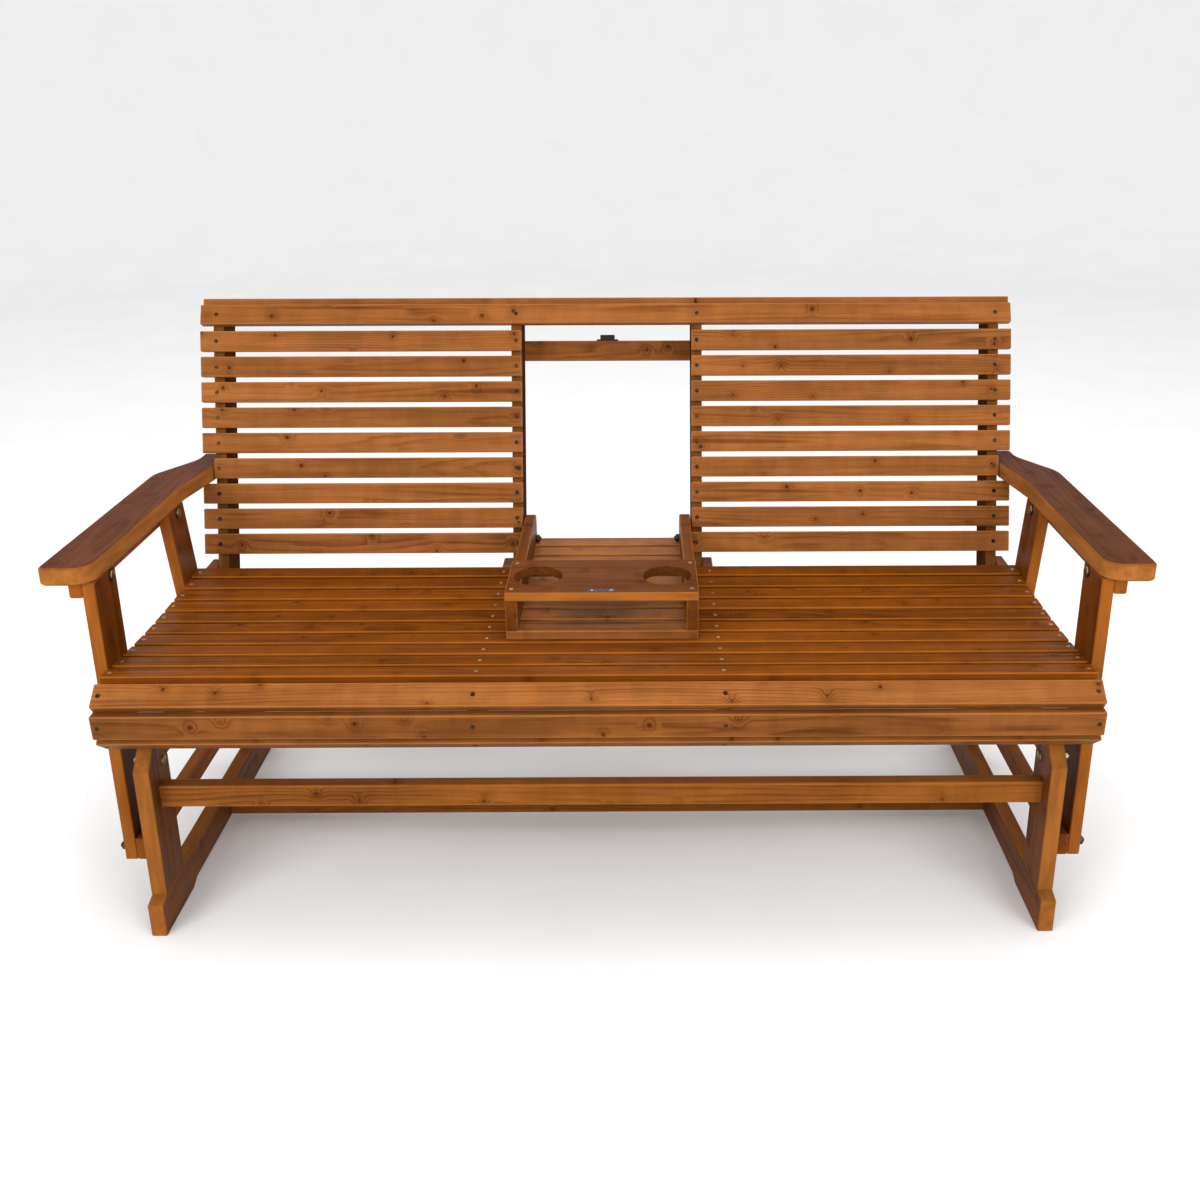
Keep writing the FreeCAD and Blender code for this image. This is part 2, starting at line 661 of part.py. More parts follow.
spacer = (s["base_board"], bar_inner_face - base_outer_face)
bolt_group("base_pivot_bolts",
           [(base_inner_face * side, (pivot_y, pivot_rise),
             bar_outer_face - base_inner_face, side > 0, [spacer])
            for side in (1, -1) for pivot_y in (pivot_front, pivot_back)])

# The end frames: hanger rails and arm posts carry the seat, and armrests top them

lower_holes = [((pivot_y, lower_pivot), fixed_hole) for pivot_y in (pivot_front, pivot_back)]
hanger_foot = (s["hanger_front"], hanger_rise)
board_pair("hanger_rail", outer_support_face, s["frame_board"],
           rectangle(hanger_foot, BACKWARDS, s["hanger_length"], UP, s["hanger_deep"]),
           holes=lower_holes)
board_pair("arm_post_front", half_length, s["frame_board"],
           rectangle(hanger_foot, BACKWARDS, s["arm_post_width"], UP, post_height),
           holes=lower_holes[:1])
rear_foot = (s["rear_post_foot"], hanger_rise)
board_pair("arm_post_rear", half_length, s["frame_board"],
           rectangle(rear_foot, BACKWARDS, slant_width, between(rear_foot, rear_top), Size(1.0)),
           holes=lower_holes[1:])
arm_rail_foot = (s["hanger_front"], arm_height - s["arm_rail_deep"])
board_pair("arm_rail", arm_rail_face, s["frame_board"],
           rectangle(arm_rail_foot, BACKWARDS, s["arm_rail_length"], UP, s["arm_rail_deep"]))


def armrest_outline(side):
    """Seen from above: a round nose, a straight outer edge that sweeps in, and a narrow tail."""
    inner = half_length - s["armrest_lap"]
    outer = inner + s["armrest_width"]
    tail_outer = outer_support_face + s["armrest_tail"]
    corners = [
        (inner, s["armrest_front"]),
        (outer, s["armrest_front"]),
        (outer, s["armrest_sweep_start"]),
        (tail_outer, s["armrest_sweep_end"]),
        (tail_outer, s["armrest_rear"]),
        (outer_support_face, s["armrest_rear"]),
        (outer_support_face, back_at_arm),
        (inner, s["armrest_taper_start"]),
    ]
    return [(u * side, v) for u, v in corners]


corner_sizes = ["inner_round", "outer_round", "sweep_round", "sweep_round",
                "tail_round", "tail_round", "sweep_round", "sweep_round"]
armrest_rounds = {corner: s["armrest_" + size] for corner, size in enumerate(corner_sizes)}
for side, name in ((1, "armrest_right"), (-1, "armrest_left")):
    board(name, ZERO, s["armrest_thick"], armrest_outline(side), rounds=armrest_rounds,
          flat=True, rim=s["armrest_ease"], rise=arm_height)

lower_bolt_grip = half_length + s["frame_board"] - bar_inner_face
bolt_group("seat_pivot_bolts",
           [(bar_inner_face * side, (pivot_y, lower_pivot), lower_bolt_grip, side > 0, [])
            for side in (1, -1) for pivot_y in (pivot_front, pivot_back)])

# The seat: four supports with a hollow top and a nose, ten seat slats and three front slats

support_floor = s["seat_rest"] - s["support_depth"]
support_outline = [
    (seat_middle + half_chord, s["seat_rest"]),
    *nose_points,
    (nose_points[-1][0] + s["nose_heel"], support_floor),
    (s["support_rear"], support_floor),
    (s["support_rear"], s["seat_rest"]),
]
for name, face in (("inner", inner_support_face), ("outer", outer_support_face)):
    board_pair("seat_support_" + name, face, s["frame_board"], support_outline,
               rounds={5: s["nose_heel"]}, sags={0: hollow_radius})

for number, loop in enumerate(seat_loops, start=1):
    slats("seat_slat_%02d" % number, -half_length, s["bench_length"], [loop])
for name, start, way in zip(("upper", "middle", "lower"), nose_points, nose_ways):
    corner = along(start, way, s["nose_reveal"] / 2)
    slats("front_slat_" + name, -half_length, s["bench_length"],
          [slat_loop(corner, way, (way[1], -way[0]))])

# The back: four posts with rolled heads, two rows of slats, a top rail and a cap

post_outline = [post_front_foot, bend, head_front, head_back, shoulder, post_back_foot]
for name, face in (("inner", inner_post_face), ("outer", outer_post_face)):
    board_pair("back_post_" + name, face, s["frame_board"], post_outline,
               rounds={3: s["head_round"], 4: s["head_round"]},
               holes=[(console_pivot, fixed_hole)] if name == "inner" else ())


def back_slats(name, start, cut_start):
    """Nine slats in one node, with the one beside the armrest cut short at its outer end."""
    loops = [slat_loop(corner, up_back, behind_back) for corner in back_corners]
    rows = slats(name + "_rows", start, half_length - inner_post_face, loops)
    nodes.remove(rows)
    front_low, front_high, back_high, back_low = loops[NOTCHED_SLAT]
    notch = doc.addObject("Part::Box", name + "_notch")
    sides = (("Length", s["arm_notch"]),
             ("Width", back_high[0] - front_low[0] + CUT_ROOM * 2),
             ("Height", front_high[1] - back_low[1] + CUT_ROOM * 2))
    for size_name, size in sides:
        notch.setExpression(size_name, size.formula)
    place(notch, cut_start, front_low[0] - CUT_ROOM, back_low[1] - CUT_ROOM)
    cut = cut_from(rows, notch, name)
    cut.Label = name
    nodes.append(cut)


back_slats("back_slats_right", inner_post_face, half_length - s["arm_notch"])
back_slats("back_slats_left", -half_length, -half_length)
for name, corner, way in (("back_top_rail", rail_foot, rail_way),
                          ("back_cap", head_front, cap_way)):
    slats(name, -half_length, s["bench_length"], [slat_loop(corner, way, (-way[1], way[0]))])

# The console: nine slats under two rails, with a cup plank across their front ends

slats("console_slats", -console_half, console_half * 2,
      [slat_loop(on_console(s["slat_pitch"] * number, ZERO), console_way, console_up)
       for number in range(BACK_SLATS)])
board_pair("console_rail", console_half - s["frame_board"], s["frame_board"],
           rectangle(on_console(ZERO, s["slat_thick"]), console_way, back_length,
                     console_up, s["console_rail_deep"]),
           holes=[(console_pivot, turning_hole)], rounds={2: s["console_tail_round"]})


def tilted(name, corner, half_width, deep, thickness, rim, holes=()):
    """A flat piece that lies on the console: drawn level, then turned to the console's slope."""
    outline = [(-half_width, ZERO), (half_width, ZERO), (half_width, deep), (-half_width, deep)]
    piece = board(name, ZERO, thickness, outline, holes=holes, flat=True, rim=rim)
    piece.Placement.Rotation = FreeCAD.Rotation(FreeCAD.Vector(1, 0, 0), console_tilt.value)
    piece.setExpression("Placement.Rotation.Angle", console_tilt.formula)
    place(piece, ZERO, *corner)


tilted("cup_plank", plank_corner, console_half, s["cup_plank_width"], s["cup_plank_thick"],
       s["board_ease"], holes=[((s["cup_spread"] * side, s["cup_plank_width"] / 2),
                               s["cup_radius"]) for side in (-1, 1)])
tilted("strike_plate", strike_corner, s["strike_width"] / 2, s["strike_deep"],
       s["strike_thick"], s["strike_thick"] / 4)

console_spacer = (s["frame_board"] + s["spacer_play"],
                  s["console_side_gap"] - s["spacer_play"] * 2)
bolt_group("console_pivot_bolts",
           [(inner_support_face * side, console_pivot,
             s["frame_board"] * 2 + s["console_side_gap"] + s["spacer_play"], side < 0,
             [console_spacer]) for side in (1, -1)], pivot_head)

# The catch rail behind the inner posts, with the magnetic catch on its upper edge

slats("catch_rail", -inner_support_face, inner_support_face * 2,
      [slat_loop(on_back(s["catch_rail_rise"], post_behind), up_back, behind_back)])
catch_front = plank_top + s["strike_thick"] + s["catch_gap"]
catch_deep = post_behind + s["slat_thick"] - catch_front


def catch_block(name, width, lift, height):
    """One block of the catch, which stands on the catch rail and reaches to the strike plate."""
    foot = on_back(s["catch_rail_rise"] + s["slat_width"] + lift, catch_front)
    block = board(name, -width / 2, width,
                  rectangle(foot, up_back, height, behind_back, catch_deep),
                  rim=s["board_ease"] / 2)
    nodes.remove(block)
    return block


catch = doc.addObject("Part::Fuse", "magnetic_catch")
catch.Label = "magnetic_catch"
catch.Base = catch_block("catch_flange", s["catch_flange_width"], ZERO, s["catch_flange_thick"])
catch.Tool = catch_block("catch_body", s["catch_body_width"], s["catch_flange_thick"] / 2,
                         s["catch_body_deep"] + s["catch_flange_thick"] / 2)
nodes.append(catch)

# Checks before anything is written

doc.recompute()
for alias, value in worked_sizes.items():
    if abs(float(worked.get(alias)) - value) > 1e-6:
        raise ValueError("%s: the sheet and the model disagree" % alias)
for item in doc.Objects:
    if "Invalid" in item.State or "Error" in item.State:
        raise ValueError("%s failed: %s" % (item.Name, item.State))
for node in nodes:
    if node.Shape.isNull() or not node.Shape.isValid():
        raise ValueError("%s has no valid shape" % node.Label)

os.makedirs("parts", exist_ok=True)
for node in nodes:
    node.Shape.exportStep("parts/%s.step" % node.Label)
print("nodes:", len(nodes), "solids:", sum(len(node.Shape.Solids) for node in nodes))
print("console pivot (y, z): %.3f %.3f" % (console_pivot[0].value - s["origin_setback"].value,
                                           console_pivot[1].value))
print("console tilt: %.4f degrees" % console_tilt.value)
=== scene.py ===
import json
import math

import bmesh
import bpy
import numpy as np
from mathutils import Matrix, Vector


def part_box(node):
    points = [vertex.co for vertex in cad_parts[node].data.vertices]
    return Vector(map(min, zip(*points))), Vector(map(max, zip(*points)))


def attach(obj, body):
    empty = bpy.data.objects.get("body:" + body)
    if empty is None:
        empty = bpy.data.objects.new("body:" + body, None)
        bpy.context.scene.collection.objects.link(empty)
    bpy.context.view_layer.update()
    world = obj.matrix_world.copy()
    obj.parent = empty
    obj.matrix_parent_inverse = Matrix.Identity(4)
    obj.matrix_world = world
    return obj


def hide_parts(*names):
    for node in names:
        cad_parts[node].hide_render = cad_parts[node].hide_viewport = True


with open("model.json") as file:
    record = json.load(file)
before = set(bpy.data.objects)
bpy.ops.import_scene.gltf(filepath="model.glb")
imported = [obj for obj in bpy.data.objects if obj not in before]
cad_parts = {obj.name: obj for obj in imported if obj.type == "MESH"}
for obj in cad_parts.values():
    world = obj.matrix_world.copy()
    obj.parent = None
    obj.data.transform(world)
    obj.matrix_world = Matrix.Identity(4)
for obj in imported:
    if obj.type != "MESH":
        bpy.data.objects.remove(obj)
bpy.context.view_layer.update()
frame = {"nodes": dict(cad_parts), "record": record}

# A wooden glider bench with a cup console that folds down from its back: every board is redrawn
# with round edges and its own grain, and gets the screws and bolts that hold it.

# Boards, with sizes in metres
SLAT_EDGES = (0.0021, 0.0021)    # rounding of a slat's long edges, on its outer and inner face
FRONT_EDGES = (0.0021, 0.0003)   # the same on the front slats, whose inner edges meet round the nose
BAR_EDGES = (0.0034, 0.0034)     # the same on the frame's straight bars
SLAT_END = 0.0020                # rounding of a slat's ends
FRONT_FIT = 0.00075              # each front slat's edge comes this much nearer to its neighbour's
BOARD_BEVEL = 0.0006             # rounding over the eased edges of sawn boards
ARMREST_BEVEL = 0.0011           # the same on the armrests and the cup plank
METAL_BEVEL = 0.0004             # rounding of steel and moulded edges
BEVEL_ANGLE = 30                 # degrees from which an edge is rounded
BEVEL_STEPS = 2
FLAT_MARGIN = 0.0007             # flat strip beside a rounding that keeps the faces flat to the light
FLAT_ANGLE = 1                   # degrees within which neighbouring triangles are one flat face
MERGE_REACH = 1e-6               # double points of a CAD node
END_REACH = 0.003                # points this near an end of a board belong to its end
RIM_REACH = 0.006                # upright faces this near a bored board's outline belong to its rim
RIM_SLANT = 0.3                  # a rim's faces have less of their normal than this through the board
FACE_SLANT = 0.95                # the board's own faces have more
ARC_STEPS = 4                    # steps of a quarter circle
SEAT_SLATS = 10
ROW_SLATS = 9                    # slats in each half of the back and in the console

# Screws and bolts, with sizes in metres
SCREW_RADIUS = 0.0040            # head of a wood screw
SCREW_RISE = 0.0009              # its crown above the wood
FLUSH_RISE = 0.0002              # crown of the screws under the console, which lies on the seat
SCREW_SIDES = 16
SCREW_CROWN = 0.86               # radius of the crown, as a share of the head's
CROSS_MIDDLE = 0.24              # mouth of the cross between its arms, as a share of the head's radius
CROSS_ARMS = 0.38                # how much further out the mouth lies in its arms
CROSS_FLOOR = 0.8                # size of the cross's floor, as a share of its mouth
SCREW_HEIGHTS = (-0.2, 0.75, 1.0, 0.1)    # foot, crown, mouth and floor, as shares of the rise
PLATE_SCREW = 0.0026             # heads of the screws in the strike plate and the catch
PLATE_SPREAD = 0.7               # strike plate's screws, as a share of its half length
PLANK_SCREWS = (0.12, 0.9)       # cup plank's screws, as shares of its width
FLANGE_THICK = 0.0025            # flange of the catch
FLANGE_INSET = 0.0035            # its screws from its ends
BOLT_SIDES = 24
SHANK_RADIUS = 0.0040
HEAD_THICK = 0.0036              # domed head of a bolt
DOME_RIM = 0.3                   # upright rim of the dome, as a share of its thickness
NUT_THICK = 0.0065
NUT_INSET = 0.0010               # corners of a nut inside the edge of the head
NUT_CHAMFER = 0.0009
NUT_FACE = 0.9                   # radius of a nut's end face, as a share of its corners'
THREAD_END = 0.0030              # thread that stands out of a nut
THREAD_SHARE = 0.7               # share of it that isn't chamfered
THREAD_TIP = 0.8                 # radius of its tip, as a share of the shank's
CAP_RADIUS = 0.0004              # flat spot at the tip of a turned piece
BASE_SPACER = (0.0254, 0.0070)   # where the nut between leg and swing arm starts, and its length
CONSOLE_SPACER = (0.0205, 0.0020)         # the same between inner post and console rail
ARM_BOLT_RADIUS = 0.0085         # heads of the bolts through the arm posts
WASHER_RADIUS = 0.0105
WASHER_THICK = 0.0014
ARM_BOLT_DROP = 0.0120           # those bolts below the armrests
FRONT_BOLT_INSET = 0.0647        # front one behind the post's front edge
REAR_BOLT_INSET = 0.0460         # rear one behind the leaning post's front edge
TURNED_CRISP = 35                # degrees from which an edge of a turned piece stays sharp
SCREW_CRISP = 40                 # the same on a screw

# The log that a board is sawn from, in metres: its length, how far its heart may lie aside of the
# board's middle, and how far below or above it
LOG_LENGTH = 60
LOG_ASIDE = 0.05
LOG_DEPTHS = (0.03, 0.11)

# How rubbed a board looks, where 1 is as much as an eased edge: its ends, the start of a rounding,
# and the narrow faces of these boards. The lighter rubbed shade is partly worn-through stain and
# partly a painted highlight; on the narrow faces of posts, legs, armrests and the cup plank it is
# painted light.
END_WEAR = 0.2
EDGE_WEAR_AND_HIGHLIGHT = 0.3
BACK_POST_RIM_HIGHLIGHT = 1.2
ARM_POST_RIM_HIGHLIGHT = 1.4
CUP_PLANK_RIM_HIGHLIGHT = 1.4
LEG_RIM_HIGHLIGHT = 1.5
ARMREST_RIM_HIGHLIGHT = 1.6

# How much lighter, up to 1, or darker, down to -1, these boards are painted. On the front slats this
# is painted light and shade: the upper slat, which leans up to the lamps, lighter, the middle and
# lower ones darker. The other boards took the stain this much lighter or darker.
BOARD_TONES_AND_SHADE = {"front_slat_upper": 0.8, "front_slat_middle": -1.0, "front_slat_lower": -1.0,
               "base_front_stretcher": 1.0, "back_top_rail": 0.2, "back_cap": 0.2}

SIDES = ("left", "right")
UP = np.array([0.0, 0.0, 1.0])
ACROSS = np.array([1.0, 0.0, 0.0])
BACK = np.array([0.0, 1.0, 0.0])
OUTER_SIDE = np.array([0.0, -1.0, 0.4])   # the outer face of a slat looks more this way
random = np.random.default_rng(41)


# Reading the frame

def rows_of(items, name):
    """A vector that every item of a mesh has, such as its place, as rows of x, y and z."""
    values = np.empty(len(items) * 3, np.float32)
    items.foreach_get(name, values)
    return values.reshape(-1, 3)


def node_points(name):
    """A CAD node's points at rest."""
    return rows_of(frame["nodes"][name].data.vertices, "co").astype(float)


def box_of(name):
    low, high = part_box(name)
    return np.array(low), np.array(high)


def box_along(name, directions):
    """A node's lowest and highest corners, measured along three directions."""
    placed = node_points(name) @ directions.T
    return placed.min(axis=0), placed.max(axis=0)


def middle_x(name):
    low, high = box_of(name)
    return (low[0] + high[0]) / 2


def body_of(name):
    bodies = frame["record"]["behaviour"]["bodies"]
    return next(body for body, members in bodies.items() if name in members)


def slot_of(name):
    return next(part["material_slot"] for part in frame["record"]["subparts"] if part["node"] == name)


def row_numbers(places, count):
    """Which of as many equal shares of their row the places lie in, from 0."""
    share = (places - places.min()) / np.ptp(places) * count
    return np.minimum(share.astype(int), count - 1)


def straight_bar(name):
    """A bar square to the frame: its middle, its directions along, across and through, half sizes."""
    low, high = box_of(name)
    half = (high - low) / 2
    order = np.argsort(-half)
    along, across = np.eye(3)[order[0]], np.eye(3)[order[1]]
    return (low + high) / 2, np.array([along, across, np.cross(along, across)]), half[order]


def bars_along_x(name, count=1):
    """The alike bars of a node that runs along X, lowest first: each one's middle, directions, sizes.

    Seen along X the bars stand in one row, so the first principal direction of all the points
    runs across every bar, and each bar takes an equal share of the row.
    """
    points = node_points(name)
    section = points[:, 1:]
    across = np.append(0.0, np.linalg.svd(section - section.mean(axis=0), full_matrices=False)[2][0])
    across = across * np.sign(np.cross(ACROSS, across) @ OUTER_SIDE)
    directions = np.array([ACROSS, across, np.cross(ACROSS, across)])
    placed = points @ directions.T
    number = row_numbers(placed[:, 1], count)
    bars = []
    for bar in range(count):
        own = placed[number == bar]
        low, high = own.min(axis=0), own.max(axis=0)
        bars.append(((low + high) / 2 @ directions, directions, (high - low) / 2))
    return bars


def rise_of(name):
    """The way from the middle of a board's lower end to the middle of its upper end."""
    points = node_points(name)
    height = points[:, 2]
    ends = [points[height < height.min() + END_REACH], points[height > height.max() - END_REACH]]
    low, high = [(end.min(axis=0) + end.max(axis=0)) / 2 for end in ends]
    return (high - low) / np.linalg.norm(high - low)


# Making meshes and pieces

def grid_faces(rows, columns):
    """The quads of a grid of points whose columns close round, facing outwards."""
    row, column = np.meshgrid(np.arange(rows - 1), np.arange(columns), indexing="ij")
    after = (column + 1) % columns
    quads = np.stack([row * columns + column, row * columns + after,
                      (row + 1) * columns + after, (row + 1) * columns + column], axis=-1)
    return quads.reshape(-1, 4).tolist()


def closed_faces(rows, columns):
    """The same grid with its first and last rows filled."""
    last = (rows - 1) * columns
    return grid_faces(rows, columns) + [list(range(columns - 1, -1, -1)),
                                        list(range(last, last + columns))]


def joined(parts):
    """Several parts as one. Each is points, faces and, in wood, values per point, or None."""
    points, faces, values, start = [], [], [], 0
    for part_points, part_faces, part_values in parts:
        points.append(part_points)
        values.append(part_values)
        faces += [[corner + start for corner in face] for face in part_faces]
        start += len(part_points)
    return np.concatenate(points), faces, None if values[0] is None else np.concatenate(values)


def store_value(mesh, name, values, domain="POINT"):
    attribute = mesh.attributes.new(name, "FLOAT", domain)
    attribute.data.foreach_set("value", np.ascontiguousarray(values, np.float32))


def store(mesh, values):
    """Writes the columns x, y, z of the grain, the tone, and the worn share with its painted highlight
    as attributes of the points.
    """
    grain = mesh.attributes.new("grain", "FLOAT_VECTOR", "POINT")
    grain.data.foreach_set("vector", np.ascontiguousarray(values[:, :3], np.float32).ravel())
    for column, name in zip(values[:, 3:].T, ("tone", "wear_and_highlight")):
        store_value(mesh, name, column)


def new_piece(name, part, crisp=None):
    """A piece made of a part; crisp is the angle in degrees from which an edge stays sharp."""
    points, faces, values = part
    mesh = bpy.data.meshes.new(name)
    mesh.from_pydata(points.tolist(), [], faces)
    if values is not None:
        store(mesh, values)
    mesh.shade_smooth()
    if crisp:
        mesh.set_sharp_from_angle(angle=math.radians(crisp))
    mesh.update()
    return bpy.data.objects.new(name, mesh)


def fit_piece(piece, finish, body):
    """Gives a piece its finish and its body."""
    piece.data.materials.append(finishes[finish])
    bpy.context.scene.collection.objects.link(piece)
    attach(piece, body)


def replace_node(name, piece, finish=None):
    """Puts a piece in the place of a CAD node, in the finish of the node's slot or in another."""
    slot = slot_of(name)
    fit_piece(piece, finish or slot, body_of(name))
    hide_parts(name)


def log_place():
    """Where in its log a board was sawn: far along it, with the log's heart some centimetres
    below or above it and off to a side."""
    return np.array([random.uniform(0, LOG_LENGTH), random.uniform(-LOG_ASIDE, LOG_ASIDE),
                     random.choice([-1, 1]) * random.uniform(*LOG_DEPTHS)])


def grain_values(places, wear_and_highlight=None, tone=None):
    """Places along, across and through a board become places in its log, with the board's tone."""
    if tone is None:
        tone = random.uniform(-1, 1)
    columns = [places + log_place(), np.full((len(places), 1), tone)]
    if wear_and_highlight is not None:
        columns.append(wear_and_highlight.reshape(-1, 1))
    return np.hstack(columns)


# Straight boards

def round_wear_and_highlight(turn):
    """How worn a rounding is at an angle a of its quarter circle, with a painted highlight along it:
    most in its middle, by sin 2a.
    """
    return EDGE_WEAR_AND_HIGHLIGHT + (1 - EDGE_WEAR_AND_HIGHLIGHT) * np.sin(turn * 2)


def bar_section(half_across, half_through, radii, inset):
    """Rectangles with round corners, one for each inset, as points round them, and where they are worn
    and carry a painted highlight.

    The radii are those of the outer face's corners and the inner face's. A corner is a quarter
    circle of its radius less the inset, round a centre that stays until the radius is used up, and
    the first and last points of each stand a margin out along the flats.
    """
    turn = np.linspace(0, math.pi / 2, ARC_STEPS + 1)
    angle = np.concatenate([[0.0], turn, [math.pi / 2]])
    slide = np.concatenate([[-FLAT_MARGIN], np.zeros(len(turn)), [FLAT_MARGIN]])
    worn = np.concatenate([[0.0], round_wear_and_highlight(turn), [0.0]])
    angles = (angle + np.arange(4)[:, None] * math.pi / 2).ravel()
    slides, worn_and_lit = np.tile(slide, 4), np.tile(worn, 4)
    side = np.repeat([[1, 1], [-1, 1], [-1, -1], [1, -1]], len(angle), axis=0)
    radius = np.where(side[:, 1] > 0, radii[0], radii[1])
    inset = np.asarray(inset)[:, None]
    centres = side * ((half_across, half_through) - np.maximum(radius, inset)[..., None])
    outward = np.stack([np.cos(angles), np.sin(angles)], axis=1)
    forward = np.stack([-np.sin(angles), np.cos(angles)], axis=1)
    reach = np.maximum(radius - inset, 0)[..., None]
    return centres + outward * reach + forward * slides[:, None], worn_and_lit


def bar_part(middle, directions, half, edges, tone):
    """A straight board: its section carried along it, drawn in towards both ends.

    At an angle a of the end's rounding, of radius r, the station lies out by r * sin a and the
    section is drawn in by r * (1 - cos a).
    """
    turn = np.linspace(math.pi / 2, 0, ARC_STEPS)
    out = np.concatenate([[SLAT_END], SLAT_END * np.sin(turn), [-FLAT_MARGIN]])
    inset = np.concatenate([[SLAT_END + FLAT_MARGIN / 2], SLAT_END * (1 - np.cos(turn)), [0.0]])
    worn = np.concatenate([[END_WEAR], round_wear_and_highlight(turn), [0.0]])
    reach = half[0] - SLAT_END
    stations = np.concatenate([-(reach + out), (reach + out)[::-1]])
    insets = np.concatenate([inset, inset[::-1]])
    station_wear_and_highlight = np.concatenate([worn, worn[::-1]])
    section, section_wear_and_highlight = bar_section(half[1], half[2], edges, insets)
    rows, columns = section.shape[:2]
    places = np.concatenate([np.repeat(stations, columns).reshape(rows, columns, 1), section], axis=2)
    places = places.reshape(-1, 3)
    wear_and_highlight = np.maximum(station_wear_and_highlight[:, None], section_wear_and_highlight[None, :]).ravel()
    return middle + places @ directions, closed_faces(rows, columns), grain_values(places, wear_and_highlight, tone)


def redraw_bars(name, bars, edges, finish=None):
    """A node of straight boards, redrawn as one piece; gives the bars back, for their screws."""
    # On the front slats the table's tone is painted light and shade
    parts = [bar_part(*bar, edges, BOARD_TONES_AND_SHADE.get(name)) for bar in bars]
    replace_node(name, new_piece(name + "_board", joined(parts)), finish)
    return bars


def redraw_slats(name, count=1):
    return redraw_bars(name, bars_along_x(name, count), SLAT_EDGES)


def redraw_frame_bar(name):
    return redraw_bars(name, [straight_bar(name)], BAR_EDGES)


# Sawn boards and metal, from the CAD shape

def merged_copy(name):
    """A copy of a CAD node's mesh: double points are merged, a flat face's triangles become one."""
    mesh = bpy.data.meshes.new(name + "_board")
    source = frame["nodes"][name].data
    corners = np.empty(len(source.loops), np.int32)
    source.loops.foreach_get("vertex_index", corners)
    mesh.from_pydata(node_points(name).tolist(), [], corners.reshape(-1, 3).tolist())
    scratch = bmesh.new()
    scratch.from_mesh(mesh)
    bmesh.ops.remove_doubles(scratch, verts=scratch.verts, dist=MERGE_REACH)
    bmesh.ops.dissolve_limit(scratch, angle_limit=math.radians(FLAT_ANGLE), verts=scratch.verts,
                             edges=scratch.edges)
    scratch.to_mesh(mesh)
    scratch.free()
    return mesh


def face_wear_and_highlight(mesh, places, directions, rim, bored):
    """How worn each face is, painted lighter as a highlight too: eased edges, which lie aslant, wholly,
    and the rim as much as rim says.

    A face's slant is the share of its normal that goes through the board. On the rim the lighter
    shade is painted light on narrow faces. In a bored board the walls of the bores, which lie further
    in than the rim, are left without it.
    """
    slant = np.abs(rows_of(mesh.polygons, "normal") @ directions[2])
    worn = np.where(slant < RIM_SLANT, rim, np.where(slant < FACE_SLANT, 1.0, 0.0))
    if bored:
        sides = rows_of(mesh.polygons, "center") @ directions[:2].T
        from_middle = np.abs(sides - (places.max(axis=0) + places.min(axis=0))[:2] / 2)
        inside = from_middle < np.ptp(places, axis=0)[:2] / 2 - RIM_REACH
        worn[inside.all(axis=1) & (slant < RIM_SLANT)] = 0.0
    return worn


def redraw_sawn(name, along, through, bevel=BOARD_BEVEL, rim=0.0, finish=None, bored=False):
    """A CAD node's shape as one smooth piece with rounded edges and its places in the grain."""
    mesh = merged_copy(name)
    directions = np.array([along, np.cross(through, along), through])
    places = rows_of(mesh.vertices, "co") @ directions.T
    store(mesh, grain_values(places - places.mean(axis=0)))
    store_value(mesh, "wear_and_highlight", face_wear_and_highlight(mesh, places, directions, rim, bored), "FACE")
    mesh.shade_smooth()
    piece = bpy.data.objects.new(name + "_board", mesh)
    replace_node(name, piece, finish)
    rounding = piece.modifiers.new("rounding", "BEVEL")
    rounding.width = bevel
    rounding.segments = BEVEL_STEPS
    rounding.limit_method = "ANGLE"
    rounding.angle_limit = math.radians(BEVEL_ANGLE)
    flats = piece.modifiers.new("flats", "WEIGHTED_NORMAL")
    flats.keep_sharp = False


# Screws and bolts

def screw_part(place, directions, radius, rise):
    """A round head with a cross recess, on a board's face.

    Ring by ring inwards: the foot, the crown, the mouth of the cross and its floor. The cross's
    mouth lies further out at the angles of its four arms.
    """
    angle = np.arange(SCREW_SIDES) * 2 * math.pi / SCREW_SIDES
    arm = (np.arange(SCREW_SIDES) % (SCREW_SIDES // 4) == 0).astype(float)
    foot = np.ones(SCREW_SIDES)
    mouth = CROSS_MIDDLE + CROSS_ARMS * arm
    reach = radius * np.stack([foot, foot * SCREW_CROWN, mouth, mouth * CROSS_FLOOR])
    height = rise * np.array(SCREW_HEIGHTS)
    spots = np.stack([reach * np.cos(angle), reach * np.sin(angle),
                      np.repeat(height[:, None], SCREW_SIDES, axis=1)], axis=-1).reshape(-1, 3)
    return place + spots @ directions, closed_faces(len(height), SCREW_SIDES), None


def add_screws(name, body, spots, finish, radius=SCREW_RADIUS, rise=SCREW_RISE):
    """One piece that holds many screws; each turns its cross its own way."""
    parts = []
    for place, directions in spots:
        turn = random.uniform(0, math.pi / 2)
        along = directions[0] * math.cos(turn) + directions[1] * math.sin(turn)
        turned = np.array([along, np.cross(directions[2], along), directions[2]])
        parts.append(screw_part(place, turned, radius, rise))
    fit_piece(new_piece(name, joined(parts), SCREW_CRISP), finish, body)


def screw_spots(bars, crossings, face=1):
    """Where each bar crosses its carriers: the middle of its outer face, or of its inner one at -1."""
    spots = []
    for middle, directions, half in bars:
        for x in crossings:
            place = middle + directions[0] * (x - middle[0]) + directions[2] * half[2] * face
            spots.append((place, np.array([directions[0], directions[1] * face, directions[2] * face])))
    return spots


def spots_along(directions, places):
    """Spots for screws from places that are measured along three directions."""
    return [(np.array(place) @ directions, directions) for place in places]


